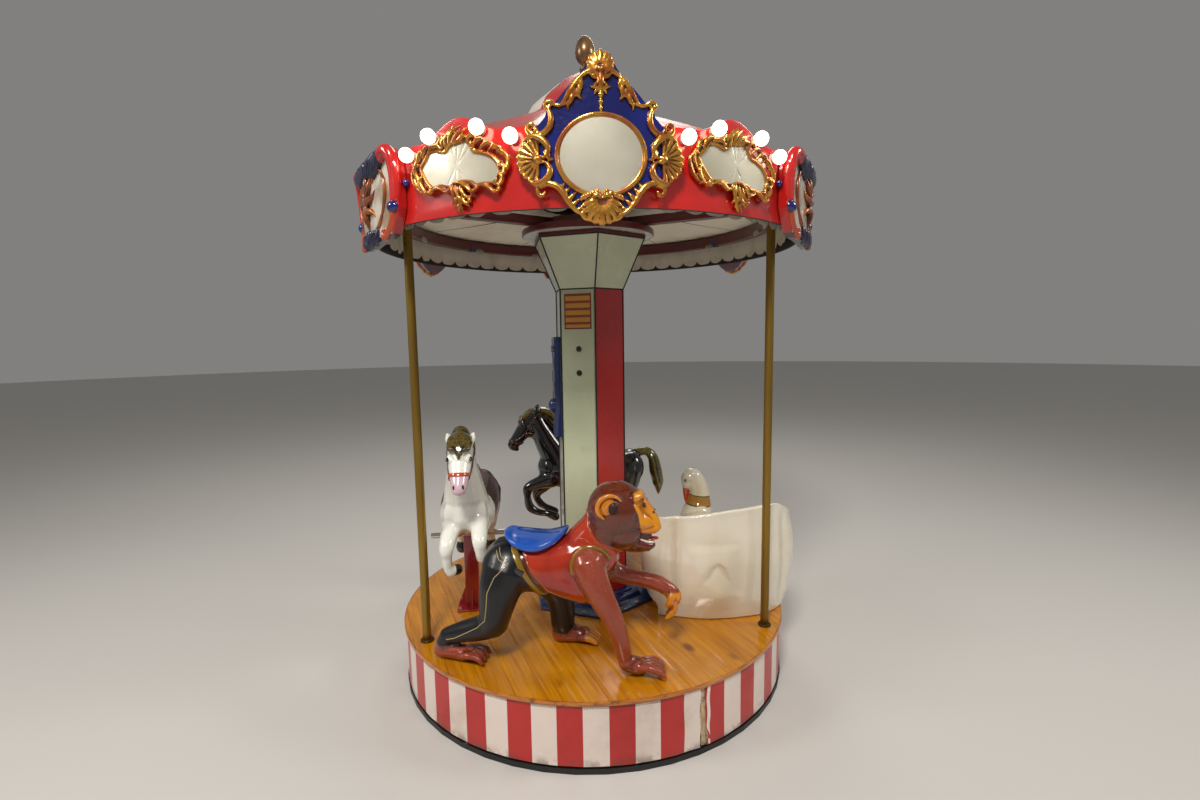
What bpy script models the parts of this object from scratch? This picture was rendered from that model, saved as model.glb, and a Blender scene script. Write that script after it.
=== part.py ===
"""Fairground carousel with two horses, a crawling monkey and a swan bench, in metres with +Z up.

The origin is on the ground at the axis of rotation, and the front medallion faces -Y.
An angle round the axis is in degrees: 0 at the front, counting anticlockwise seen from above.
The base stands still. Everything else stands on the deck and turns with it.
"""

import math

import bmesh
import bpy
from mathutils import Matrix, Vector

GAP = 0.0003

# Base and deck
BASE_RADIUS = 0.845
BASE_TOP = 0.020
BEARING_RADIUS = 0.200
BEARING_TOP = 0.032
SPINDLE_RADIUS = 0.050
SPINDLE_TOP = 0.150
SPINDLE_CLEARANCE = 0.002
DRUM_RADIUS = 0.837
DECK_RADIUS = 0.850
DECK_TOP = 0.260
DECK_THICKNESS = 0.015
SKIRT_RADIUS = 0.8385
SKIRT_THICKNESS = 0.003
SKIRT_SEAM = 0.3
SKIRT_BOTTOM = 0.0255
TEAR_START = 22.6
TEAR_END = 24.6

# Column
HEXAGON_TURN = 6.5
COLUMN_RADIUS = 0.160
COLUMN_TOP = 1.655
PLINTH_RADIUS = 0.300
PLINTH_FLANGE_TOP = 0.272
PLINTH_COLLAR_RADIUS = 0.190
PLINTH_TOP = 0.300
CAPITAL_RADIUS = 0.263
CAPITAL_TOP = 1.882
DISC_RADIUS = 0.290
DISC_TOP = 1.912

# Canopy frame
RING_RADIUS = 0.790
RING_WIDTH = 0.040
RING_BOTTOM = 1.907
RING_TOP = 1.955
BEAM_BOTTOM = 1.915
POLE_RADIUS = 0.0165
POLE_ANGLES = (-60, 60, 180)
OUTRIGGER_BOTTOM = 1.935
VALANCE_RADIUS = 0.832
VALANCE_BOTTOM = 1.836
SCALLOPS = 60
SCALLOP_DEPTH = 0.018

# Fascia
FASCIA_RADIUS = 0.890
FASCIA_THICKNESS = 0.010
FASCIA_BOTTOM = 1.826
FASCIA_TOP = 2.062
HUMP_HEIGHT = 0.050
HUMP_HALF_WIDTH = 9.5
BOARD_HALF_WIDTH = 28.5
CARTOUCHE_ANGLE = 28.6
MEDALLION_ANGLES = (0, 120, 240)
BULB_RADIUS = 0.0225
BULBS = ((-12.2, 2.028), (-5.6, 2.064), (5.6, 2.064), (12.2, 2.028))
MEDALLION_THICKNESS = 0.020
SHIELD_THICKNESS = 0.030
FRAME_THICKNESS = 0.014
MIRROR_HALF_WIDTH = 0.134
MIRROR_HALF_HEIGHT = 0.118
MOST_SAG = 0.0008
BOARD_BACK = FASCIA_RADIUS + MOST_SAG
MIRROR_HEIGHT = 1.965

# Roof
ROOF_RIM_RADIUS = 0.879
ROOF_THICKNESS = 0.004
ROOF_TOP = 2.576
FINIAL_TOP = 2.728

# Figures, each with its own origin on the deck, +X forwards and +Y towards the axis
MONKEY_RADIUS = 0.594
MONKEY_ANGLE = -12.8
WHITE_HORSE_RADIUS = 0.556
WHITE_HORSE_ANGLE = -79.6
WHITE_HORSE_TURN = -6
BLACK_HORSE_RADIUS = 0.510
BLACK_HORSE_ANGLE = 180
BENCH_RADIUS = 0.552
BENCH_ANGLE = 83.8
BENCH_TURN = 10
POST_TOP = 0.440
POST_WIDTH = 0.060
SADDLE_BOTTOM = 0.470
FOOT_PLATE_THICKNESS = 0.008
FOOTREST_HEIGHT = 0.344
FOOTREST_LENGTH = 0.330
FOOTREST_RADIUS = 0.012
VOXEL = 0.0125

FINISHES = {
    "black_steel": ((0.02, 0.02, 0.02), 0.5, 0.0),
    "varnished_pine": ((0.55, 0.27, 0.07), 0.2, 0.0),
    "beige_board": ((0.55, 0.45, 0.32), 0.8, 0.0),
    "striped_vinyl": ((0.70, 0.10, 0.08), 0.4, 0.0),
    "cream_paint": ((0.72, 0.70, 0.55), 0.3, 0.0),
    "blue_paint": ((0.03, 0.06, 0.30), 0.25, 0.0),
    "blue_gloss": ((0.02, 0.04, 0.30), 0.15, 0.0),
    "dark_red_steel": ((0.20, 0.03, 0.04), 0.4, 0.0),
    "brass": ((0.55, 0.38, 0.12), 0.35, 0.9),
    "white_cloth": ((0.85, 0.82, 0.75), 0.9, 0.0),
    "red_gloss": ((0.65, 0.05, 0.04), 0.15, 0.0),
    "gold_paint": ((0.65, 0.42, 0.12), 0.3, 0.6),
    "milky_mirror": ((0.85, 0.85, 0.85), 0.05, 0.8),
    "bronze": ((0.30, 0.17, 0.08), 0.3, 0.8),
    "brown_fur": ((0.25, 0.09, 0.04), 0.4, 0.0),
    "white_gloss": ((0.80, 0.76, 0.68), 0.2, 0.0),
    "black_gloss": ((0.03, 0.03, 0.03), 0.2, 0.0),
    "ivory_gloss": ((0.80, 0.72, 0.58), 0.2, 0.0),
}


def clear_scene():
    for obj in list(bpy.data.objects):
        bpy.data.objects.remove(obj)


def new_collection(name):
    collection = bpy.data.collections.new(name)
    bpy.context.scene.collection.children.link(collection)
    return collection


def make_materials():
    made = {}
    for name, (colour, roughness, metallic) in FINISHES.items():
        material = bpy.data.materials.new(name)
        material.use_nodes = True
        shader = material.node_tree.nodes["Principled BSDF"]
        shader.inputs["Base Color"].default_value = (*colour, 1)
        shader.inputs["Roughness"].default_value = roughness
        shader.inputs["Metallic"].default_value = metallic
        made[name] = material
    return made


clear_scene()
PARTS = new_collection("fairground_carousel")
CUTTERS = new_collection("cutters")
MATERIALS = make_materials()
TURNTABLE = bpy.data.objects.new("turntable_axis", None)
PARTS.objects.link(TURNTABLE)


def on_circle(radius, angle, height=0.0):
    turned = math.radians(angle)
    return Vector((radius * math.sin(turned), -radius * math.cos(turned), height))


def evaluated_mesh(obj):
    bpy.context.view_layer.update()
    graph = bpy.context.evaluated_depsgraph_get()
    return bpy.data.meshes.new_from_object(obj.evaluated_get(graph))


def new_part(name, data, finish, angle=0.0, parent=TURNTABLE):
    """A sub-part, turned by an angle round the axis of the carousel."""
    part = bpy.data.objects.new(name, data)
    PARTS.objects.link(part)
    part.parent = parent
    part.rotation_euler.z = math.radians(angle)
    if not data.materials:
        data.materials.append(MATERIALS[finish])
    return part


def new_cutter(name, data):
    cutter = bpy.data.objects.new(name, data)
    CUTTERS.objects.link(cutter)
    cutter.hide_render = True
    cutter.display_type = "WIRE"
    return cutter


def mesh_of(name, bm):
    mesh = bpy.data.meshes.new(name)
    bm.to_mesh(mesh)
    bm.free()
    return mesh


def boolean(obj, other, operation="DIFFERENCE"):
    modifier = obj.modifiers.new(other.name, "BOOLEAN")
    modifier.operation = operation
    modifier.object = other


def block(low, high):
    """A mesh of one box between two corners."""
    bm = bmesh.new()
    size = Vector(high) - Vector(low)
    centre = (Vector(high) + Vector(low)) / 2
    bmesh.ops.create_cube(bm, size=1, matrix=Matrix.Translation(centre) @ Matrix.Diagonal((*size, 1)))
    return mesh_of("block", bm)


def turned(name, profile, finish, steps=48, closed=False, **placed):
    """A body turned round +Z from a profile of (radius, height) points, top to bottom on the outside."""
    bm = bmesh.new()
    points = [bm.verts.new((radius, 0, height)) for radius, height in profile]
    for first, second in zip(points, points[1:]):
        bm.edges.new((first, second))
    if closed:
        bm.edges.new((points[-1], points[0]))
    part = new_part(name, mesh_of(name, bm), finish, **placed)
    screw = part.modifiers.new("turning", "SCREW")
    screw.steps = steps
    screw.render_steps = steps
    screw.use_merge_vertices = True
    screw.merge_threshold = 0.0001
    return part


def prism(bm, sides, low_radius, high_radius, low, high, turn=0.0):
    """A prism or a pyramid's stump round +Z, with a corner at the front before it is turned."""
    place = Matrix.Translation((0, 0, (low + high) / 2)) @ Matrix.Rotation(math.radians(turn), 4, "Z")
    bmesh.ops.create_cone(
        bm, cap_ends=True, segments=sides, radius1=low_radius, radius2=high_radius, depth=high - low, matrix=place
    )


def bent_wall(stations, radius, thickness):
    """A mesh bent round the axis, its back at a radius, from stations of (angle, bottom, top)."""
    columns = len(stations) - 1
    bm = bmesh.new()
    bmesh.ops.create_grid(bm, x_segments=columns, y_segments=1, size=0.5)
    for vert in bm.verts:
        angle, bottom, top = stations[round((vert.co.x + 0.5) * columns)]
        vert.co = on_circle(radius + thickness, angle, top if vert.co.y > 0 else bottom)
    wall = new_cutter("wall", mesh_of("wall", bm))
    solid = wall.modifiers.new("thickness", "SOLIDIFY")
    solid.thickness = thickness
    mesh = evaluated_mesh(wall)
    bpy.data.objects.remove(wall)
    return mesh


def bent_plate(half, thickness, radius):
    """A symmetric plate bent round the axis, from (across, bottom, top) of its right half, middle first."""
    right = [(math.degrees(across / radius), bottom, top) for across, bottom, top in half]
    left = [(-angle, bottom, top) for angle, bottom, top in right[:0:-1]]
    return bent_wall(left + right, radius, thickness)


def even_angles(start, end, columns):
    return [start + (end - start) * column / columns for column in range(columns + 1)]


def add_ball(bm, centre, size, tilt=0.0):
    """An ellipsoid with three half axes, tipped forwards about +Y by an angle."""
    place = Matrix.Translation(centre) @ Matrix.Rotation(math.radians(tilt), 4, "Y")
    place = place @ Matrix.Diagonal((*size, 1))
    bmesh.ops.create_uvsphere(bm, u_segments=20, v_segments=12, radius=1, matrix=place)


def add_limb(bm, points, radii):
    """A chain of tapered tubes with round joints."""
    for centre, radius in zip(points, radii):
        add_ball(bm, centre, (radius, radius, radius))
    for start, end, first, second in zip(points, points[1:], radii, radii[1:]):
        along = Vector(end) - Vector(start)
        place = Matrix.Translation((Vector(start) + Vector(end)) / 2)
        place = place @ Vector((0, 0, 1)).rotation_difference(along).to_matrix().to_4x4()
        bmesh.ops.create_cone(
            bm, cap_ends=True, segments=16, radius1=first, radius2=second, depth=along.length, matrix=place
        )


def add_pair(bm, points, radii):
    """Two limbs, the second the first's mirror image across the middle of the figure."""
    add_limb(bm, points, radii)
    add_limb(bm, [(x, -y, z) for x, y, z in points], radii)


def cut_open(bm, point, normal):
    """Takes off what lies beyond a plane and closes the cut with a face."""
    geometry = bm.verts[:] + bm.edges[:] + bm.faces[:]
    cut = bmesh.ops.bisect_plane(bm, geom=geometry, plane_co=point, plane_no=normal, clear_outer=True)
    rim = [element for element in cut["geom_cut"] if isinstance(element, bmesh.types.BMEdge)]
    bmesh.ops.contextual_create(bm, geom=rim)


def fused(name, bm, voxel, triangles, finish):
    """One skin round all the overlapping shapes of a figure, thinned to about a number of triangles."""
    figure = new_part(name, mesh_of(name, bm), finish)
    skin = figure.modifiers.new("skin", "REMESH")
    skin.mode = "VOXEL"
    skin.voxel_size = voxel
    faces = evaluated_mesh(figure)
    faces.calc_loop_triangles()
    thinned = figure.modifiers.new("thinning", "DECIMATE")
    thinned.ratio = min(1.0, triangles / len(faces.loop_triangles))
    return figure


def place_figure(figure, radius, angle, turn=0.0):
    """Stands a figure on the deck facing along its path, with an extra turn of its own."""
    figure.location = on_circle(radius, angle, DECK_TOP)
    figure.rotation_euler.z = math.radians(angle + turn)


def make_base():
    """The fixed pan on the ground, with the bearing and the spindle that carry the turntable."""
    profile = [
        (0, SPINDLE_TOP),
        (SPINDLE_RADIUS, SPINDLE_TOP),
        (SPINDLE_RADIUS, BEARING_TOP),
        (BEARING_RADIUS, BEARING_TOP),
        (BEARING_RADIUS, BASE_TOP),
        (BASE_RADIUS, BASE_TOP),
        (BASE_RADIUS, 0),
        (0, 0),
    ]
    turned("base_pan", profile, "black_steel", steps=48, parent=None)


def make_drum_and_deck():
    """The closed drum under the floor, which runs on the bearing, and the round plywood floor on it."""
    bore = SPINDLE_RADIUS + SPINDLE_CLEARANCE
    drum_top = DECK_TOP - DECK_THICKNESS - GAP
    profile = [
        (0, drum_top),
        (DRUM_RADIUS, drum_top),
        (DRUM_RADIUS, BEARING_TOP + GAP),
        (bore, BEARING_TOP + GAP),
        (bore, SPINDLE_TOP + SPINDLE_CLEARANCE),
        (0, SPINDLE_TOP + SPINDLE_CLEARANCE),
    ]
    turned("underframe_drum", profile, "beige_board", steps=60)
    edge = 0.004
    profile = [
        (0, DECK_TOP),
        (DECK_RADIUS - edge, DECK_TOP),
        (DECK_RADIUS, DECK_TOP - edge),
        (DECK_RADIUS, DECK_TOP - DECK_THICKNESS),
        (0, DECK_TOP - DECK_THICKNESS),
    ]
    turned("deck", profile, "varnished_pine", steps=72)


def make_skirts():
    """Three lengths of striped vinyl round the drum, with one seam torn open."""
    top = DECK_TOP - DECK_THICKNESS - GAP
    joints = (TEAR_END, 144, 264, TEAR_START + 360)
    for number, (start, end) in enumerate(zip(joints, joints[1:]), 1):
        stations = [(angle, SKIRT_BOTTOM, top) for angle in even_angles(start, end - SKIRT_SEAM, 24)]
        mesh = bent_wall(stations, SKIRT_RADIUS, SKIRT_THICKNESS)
        new_part(f"skirt_{number}", mesh, "striped_vinyl")


def make_column():
    """The six-sided column on its plinth, with its service door, control box and flared capital."""
    bm = bmesh.new()
    prism(bm, 6, COLUMN_RADIUS, COLUMN_RADIUS, PLINTH_TOP + GAP, COLUMN_TOP, HEXAGON_TURN)
    new_part("column", mesh_of("column", bm), "cream_paint")

    bm = bmesh.new()
    prism(bm, 6, PLINTH_RADIUS, PLINTH_RADIUS, DECK_TOP + GAP, PLINTH_FLANGE_TOP, HEXAGON_TURN)
    plinth = new_part("column_plinth", mesh_of("column_plinth", bm), "blue_paint")
    bm = bmesh.new()
    prism(bm, 6, PLINTH_COLLAR_RADIUS, PLINTH_COLLAR_RADIUS, DECK_TOP + 0.005, PLINTH_TOP, HEXAGON_TURN)
    boolean(plinth, new_cutter("plinth_collar", mesh_of("plinth_collar", bm)), "UNION")

    bm = bmesh.new()
    prism(bm, 6, COLUMN_RADIUS, CAPITAL_RADIUS, COLUMN_TOP + GAP, CAPITAL_TOP, HEXAGON_TURN)
    capital = new_part("capital", mesh_of("capital", bm), "cream_paint")
    bm = bmesh.new()
    prism(bm, 48, DISC_RADIUS, DISC_RADIUS, CAPITAL_TOP - 0.004, DISC_TOP)
    boolean(capital, new_cutter("capital_disc", mesh_of("capital_disc", bm)), "UNION")


def make_door_and_box():
    """The lockable service door on the front left face, and the blue coin box on the side face."""
    face = COLUMN_RADIUS * math.cos(math.radians(30)) + GAP
    door_turn = HEXAGON_TURN - 30
    half_width = 0.068
    bm = bmesh.new()
    low = Vector((-half_width, -face - 0.003, 0.34))
    high = Vector((half_width, -face, COLUMN_TOP - 0.02))
    place = Matrix.Translation((low + high) / 2) @ Matrix.Diagonal((*(high - low), 1))
    bmesh.ops.create_cube(bm, size=1, matrix=place)
    door = new_part("column_door", mesh_of("column_door", bm), "cream_paint", angle=door_turn)
    bm = bmesh.new()
    for height in (1.297, 1.400):
        place = Matrix.Translation((0.0, -face - 0.006, height)) @ Matrix.Rotation(math.pi / 2, 4, "X")
        bmesh.ops.create_cone(
            bm, cap_ends=True, segments=16, radius1=0.013, radius2=0.013, depth=0.008, matrix=place
        )
    locks = new_cutter("locks", mesh_of("locks", bm))
    locks.rotation_euler.z = math.radians(door_turn)
    boolean(door, locks, "UNION")

    box = new_part(
        "control_box", block((-0.055, -face - 0.028, 1.010), (0.055, -face, 1.453)), "blue_paint", HEXAGON_TURN - 90
    )
    bevel = box.modifiers.new("rounding", "BEVEL")
    bevel.width = 0.006
    bevel.segments = 2
    bm = bmesh.new()
    place = Matrix.Translation((0, -face - 0.028, 1.146)) @ Matrix.Diagonal((0.030, 0.026, 0.034, 1))
    bmesh.ops.create_uvsphere(bm, u_segments=16, v_segments=10, radius=1, matrix=place)
    knob = new_cutter("coin_knob", mesh_of("coin_knob", bm))
    knob.rotation_euler.z = box.rotation_euler.z
    boolean(box, knob, "UNION")


def make_poles():
    """Three brass tubes with a collar at the deck."""
    profile = [
        (0, RING_BOTTOM - GAP),
        (POLE_RADIUS, RING_BOTTOM - GAP),
        (POLE_RADIUS, DECK_TOP + 0.010),
        (0.026, DECK_TOP + 0.008),
        (0.026, DECK_TOP + GAP),
        (0, DECK_TOP + GAP),
    ]
    for number, angle in enumerate(POLE_ANGLES, 1):
        pole = turned(f"pole_{number}", profile, "brass", steps=16)
        pole.location = on_circle(RING_RADIUS, angle)


def make_canopy_frame():
    """The steel ring on the poles, its beams to the column head, and the short arms that hold the fascia."""
    half = RING_WIDTH / 2
    profile = [
        (RING_RADIUS - half, RING_TOP),
        (RING_RADIUS + half, RING_TOP),
        (RING_RADIUS + half, RING_BOTTOM),
        (RING_RADIUS - half, RING_BOTTOM),
    ]
    frame = turned("canopy_frame", profile, "dark_red_steel", steps=60, closed=True)
    start = 0.170
    hub = bmesh.new()
    prism(hub, 24, 0.200, 0.200, DISC_TOP + GAP, RING_TOP - 0.002)
    boolean(frame, new_cutter("frame_hub", mesh_of("frame_hub", hub)), "UNION")
    for angle in POLE_ANGLES:
        beam = new_cutter("beam", block((-0.020, -RING_RADIUS, BEAM_BOTTOM), (0.020, -start, RING_TOP - 0.002)))
        beam.rotation_euler.z = math.radians(angle)
        boolean(frame, beam, "UNION")
    reach = FASCIA_RADIUS - FASCIA_THICKNESS - 2 * GAP
    for medallion in MEDALLION_ANGLES:
        for side in (-CARTOUCHE_ANGLE, CARTOUCHE_ANGLE):
            low = (-0.012, -reach, OUTRIGGER_BOTTOM)
            arm = new_cutter("arm", block(low, (0.012, -RING_RADIUS, RING_TOP - 0.001)))
            arm.rotation_euler.z = math.radians(medallion + side)
            boolean(frame, arm, "UNION")


def make_valance():
    """The scalloped white frill that hangs from the arms of the frame."""
    bm = bmesh.new()
    columns = SCALLOPS * 2
    bmesh.ops.create_circle(bm, segments=columns, radius=VALANCE_RADIUS)
    edges = bm.edges[:]
    made = bmesh.ops.extrude_edge_only(bm, edges=edges)["geom"]
    top = [element for element in made if isinstance(element, bmesh.types.BMVert)]
    for index, vert in enumerate(bm.verts):
        if vert in top:
            vert.co.z = OUTRIGGER_BOTTOM - GAP
        else:
            vert.co.z = VALANCE_BOTTOM + SCALLOP_DEPTH * (index % 2)
    bmesh.ops.recalc_face_normals(bm, faces=bm.faces)
    valance = new_part("valance", mesh_of("valance", bm), "white_cloth")
    solid = valance.modifiers.new("thickness", "SOLIDIFY")
    solid.thickness = 0.003
    solid.offset = 0


def make_ceiling_and_roof():
    """The gathered ceiling cloth, the striped roof cover and the finial."""
    cloth = 0.004
    outer = RING_RADIUS + RING_WIDTH / 2
    inner = 0.215
    profile = [
        (inner, 2.020),
        (outer, RING_TOP + GAP + cloth),
        (outer, RING_TOP + GAP),
        (inner, 2.016),
    ]
    turned("ceiling_cloth", profile, "white_cloth", steps=48, closed=True)
    outside = [
        (0.026, ROOF_TOP),
        (0.100, 2.533),
        (0.166, 2.480),
        (0.235, 2.418),
        (0.268, 2.360),
        (0.330, 2.325),
        (0.600, 2.205),
        (ROOF_RIM_RADIUS, 2.056),
        (ROOF_RIM_RADIUS, 1.990),
    ]
    rim = ROOF_RIM_RADIUS - ROOF_THICKNESS
    inside = [(rim, 1.990), (rim, 2.050), (0.262, 2.352), (0.160, 2.472), (0, ROOF_TOP - 0.012)]
    profile = [(0, ROOF_TOP), *outside, *inside]
    turned("roof_cover", profile, "striped_vinyl", steps=36)
    finial = [
        (0, FINIAL_TOP),
        (0.022, FINIAL_TOP - 0.007),
        (0.038, FINIAL_TOP - 0.034),
        (0.043, FINIAL_TOP - 0.064),
        (0.034, FINIAL_TOP - 0.095),
        (0.016, FINIAL_TOP - 0.113),
        (0.013, FINIAL_TOP - 0.120),
        (0.024, FINIAL_TOP - 0.129),
        (0.024, FINIAL_TOP - 0.140),
        (0.015, ROOF_TOP + GAP),
        (0, ROOF_TOP + GAP),
    ]
    turned("finial", finial, "bronze", steps=16)


def fascia_top(angle):
    """The wavy top of a board: one hump over its cartouche."""
    if abs(angle) > HUMP_HALF_WIDTH:
        return FASCIA_TOP
    return FASCIA_TOP + HUMP_HEIGHT * math.cos(math.pi / 2 * angle / HUMP_HALF_WIDTH) ** 2


def make_fascia():
    """Six red boards round the canopy, each with a framed mirror and four lamp bulbs."""
    angles = even_angles(-BOARD_HALF_WIDTH, BOARD_HALF_WIDTH, 18)
    stations = [(angle, FASCIA_BOTTOM, fascia_top(angle)) for angle in angles]
    inner_radius = FASCIA_RADIUS - FASCIA_THICKNESS
    board = new_part("board", bent_wall(stations, inner_radius, FASCIA_THICKNESS), "red_gloss")
    sockets = bmesh.new()
    bulbs = bmesh.new()
    for angle, height in BULBS:
        outwards = Matrix.Rotation(math.radians(angle), 4, "Z")
        place = Matrix.Translation((0, -FASCIA_RADIUS - 0.006, height)) @ Matrix.Rotation(math.pi / 2, 4, "X")
        bmesh.ops.create_cone(
            sockets, cap_ends=True, segments=8, radius1=0.014, radius2=0.014, depth=0.020, matrix=outwards @ place
        )
        place = Matrix.Translation((0, -FASCIA_RADIUS - 0.030, height))
        bmesh.ops.create_uvsphere(bulbs, u_segments=8, v_segments=6, radius=BULB_RADIUS, matrix=outwards @ place)
    boolean(board, new_cutter("sockets", mesh_of("sockets", sockets)), "UNION")
    boolean(board, new_cutter("bulbs", mesh_of("bulbs", bulbs)), "UNION")
    mesh = evaluated_mesh(board)
    bpy.data.objects.remove(board)

    half = [
        (0, 1.824, 2.070),
        (0.030, 1.834, 2.062),
        (0.060, 1.856, 2.044),
        (0.090, 1.864, 2.036),
        (0.120, 1.880, 2.016),
        (0.150, 1.900, 1.996),
        (0.172, 1.930, 1.966),
    ]
    frame = bent_plate(half, FRAME_THICKNESS, BOARD_BACK)
    for number in range(6):
        centre = MEDALLION_ANGLES[number // 2] + (CARTOUCHE_ANGLE if number % 2 else -CARTOUCHE_ANGLE)
        new_part(f"fascia_board_{number + 1}", mesh, "red_gloss", centre)
        new_part(f"cartouche_{number + 1}", frame, "gold_paint", centre)


def make_medallions_and_shields():
    """The three blue medallions with their mirrors, and the red shields over the poles between them."""
    half = [
        (0, 1.786, 2.244),
        (0.030, 1.788, 2.240),
        (0.044, 1.796, 2.206),
        (0.058, 1.804, 2.186),
        (0.092, 1.834, 2.152),
        (0.112, 1.862, 2.130),
        (0.131, 1.884, 2.108),
        (0.147, 1.890, 2.104),
        (0.156, 1.890, 2.074),
        (0.177, 1.887, 2.052),
        (0.203, 1.897, 2.040),
        (0.222, 1.918, 2.008),
        (0.236, 1.942, 1.975),
    ]
    plate = bent_plate(half, MEDALLION_THICKNESS, BOARD_BACK)
    half = []
    for turn in range(0, 81, 16):
        rise = MIRROR_HALF_HEIGHT * math.cos(math.radians(turn))
        across = MIRROR_HALF_WIDTH * math.sin(math.radians(turn))
        half.append((across, MIRROR_HEIGHT - rise, MIRROR_HEIGHT + rise))
    mirror = bent_plate(half, FRAME_THICKNESS, BOARD_BACK + MEDALLION_THICKNESS + MOST_SAG)
    half = [
        (0, 1.775, 2.066),
        (0.055, 1.780, 2.072),
        (0.110, 1.785, 2.082),
        (0.165, 1.788, 2.088),
        (0.205, 1.800, 2.074),
        (0.235, 1.850, 2.050),
        (0.247, 1.880, 1.990),
    ]
    shield = bent_plate(half, SHIELD_THICKNESS, BOARD_BACK)
    for number, angle in enumerate(MEDALLION_ANGLES, 1):
        new_part(f"medallion_{number}", plate, "blue_gloss", angle)
        new_part(f"medallion_mirror_{number}", mirror, "milky_mirror", angle)
        new_part(f"shield_{number}", shield, "red_gloss", angle + 60)


def make_horse(name, finish, place, muzzle_rise, near_leg, far_leg):
    """A galloping horse on a square post with a foot plate and a cross tube for the feet.

    The legs in front are lists of points; each one is a limb down to the fetlock and a hoof after it.
    """
    bm = bmesh.new()
    for side in (-0.022, 0.022):
        spine = [(-0.205, side, 0.472), (0.010, side, 0.464), (0.120, side * 0.6, 0.466), (0.190, 0, 0.486)]
        add_limb(bm, spine, [0.098, 0.100, 0.098, 0.082])
    neck = [(0.150, 0, 0.520), (0.205, 0, 0.610), (0.248, 0, 0.695), (0.270, 0, 0.752)]
    add_limb(bm, neck, [0.094, 0.078, 0.062, 0.054])
    muzzle = (0.402, 0, 0.612 + muzzle_rise)
    bridge = (0.340, 0, 0.690 + muzzle_rise / 2)
    add_limb(bm, [(0.286, 0, 0.765), bridge, muzzle], [0.054, 0.043, 0.032])
    hair = [(0.080, 0, 0.620), (0.165, 0, 0.735), (0.215, 0, 0.783), (0.262, 0, 0.792), (0.335, 0, 0.782)]
    add_limb(bm, hair, [0.030, 0.038, 0.038, 0.032, 0.026])
    add_pair(bm, [(0.278, 0.036, 0.792), (0.270, 0.044, 0.826)], [0.018, 0.008])
    for side, leg in ((1, near_leg), (-1, far_leg)):
        points = [(along, across * side, up) for along, across, up in leg]
        add_limb(bm, points[:5], [0.050, 0.036, 0.027, 0.022, 0.022])
        add_limb(bm, points[4:], [0.020, 0.028])
    add_pair(bm, [(-0.215, 0.048, 0.470), (-0.205, 0.062, 0.380), (-0.172, 0.066, 0.322)], [0.084, 0.068, 0.046])
    add_pair(bm, [(-0.172, 0.066, 0.322), (-0.262, 0.070, 0.276), (-0.296, 0.070, 0.205)], [0.044, 0.028, 0.024])
    add_pair(bm, [(-0.296, 0.070, 0.205), (-0.298, 0.070, 0.168)], [0.024, 0.031])
    tail = [(-0.262, 0, 0.545), (-0.322, 0, 0.558), (-0.362, 0, 0.525), (-0.376, 0, 0.440), (-0.395, 0, 0.345)]
    add_limb(bm, tail, [0.026, 0.030, 0.036, 0.040, 0.024])
    horse = fused(name, bm, VOXEL, 1500, finish)
    place_figure(horse, *place)
    half = POST_WIDTH / 2 + GAP
    pocket = new_cutter(name + "_pocket", block((-half, -half, 0.2), (half, half, POST_TOP + GAP)))
    place_figure(pocket, *place)
    boolean(horse, pocket)

    half = POST_WIDTH / 2
    post = new_part(name + "_post", block((-half, -half, GAP), (half, half, POST_TOP)), "red_gloss")
    foot = 0.065
    plate = new_cutter(name + "_plate", block((-foot, -foot, GAP), (foot, foot, FOOT_PLATE_THICKNESS)))
    bm = bmesh.new()
    tube = Matrix.Translation((half + FOOTREST_RADIUS / 2, 0, FOOTREST_HEIGHT))
    tube = tube @ Matrix.Rotation(math.pi / 2, 4, "X")
    radius = FOOTREST_RADIUS
    bmesh.ops.create_cone(
        bm, cap_ends=True, segments=14, radius1=radius, radius2=radius, depth=FOOTREST_LENGTH, matrix=tube
    )
    footrest = new_cutter(name + "_footrest", mesh_of("footrest", bm))
    for piece in (post, plate, footrest):
        place_figure(piece, *place)
    boolean(post, plate, "UNION")
    boolean(post, footrest, "UNION")


def make_horses():
    """The white horse that comes towards the viewer, and the black horse that runs behind the column."""
    near = [
        (0.195, 0.052, 0.440),
        (0.270, 0.058, 0.436),
        (0.330, 0.062, 0.408),
        (0.335, 0.062, 0.375),
        (0.322, 0.072, 0.345),
        (0.298, 0.086, 0.328),
    ]
    far = [
        (0.190, 0.056, 0.430),
        (0.262, 0.062, 0.424),
        (0.318, 0.070, 0.392),
        (0.318, 0.070, 0.345),
        (0.308, 0.066, 0.295),
        (0.288, 0.042, 0.282),
    ]
    place = (WHITE_HORSE_RADIUS, WHITE_HORSE_ANGLE, WHITE_HORSE_TURN)
    make_horse("white_horse", "white_gloss", place, 0.030, near, far)
    near = [
        (0.195, 0.056, 0.432),
        (0.265, 0.062, 0.414),
        (0.326, 0.064, 0.384),
        (0.326, 0.064, 0.330),
        (0.310, 0.064, 0.272),
        (0.186, 0.064, 0.226),
    ]
    far = [
        (0.190, 0.056, 0.420),
        (0.240, 0.062, 0.368),
        (0.282, 0.066, 0.322),
        (0.284, 0.066, 0.300),
        (0.262, 0.066, 0.262),
        (0.180, 0.066, 0.214),
    ]
    make_horse("black_horse", "black_gloss", (BLACK_HORSE_RADIUS, BLACK_HORSE_ANGLE, 0), 0, near, far)


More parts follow.
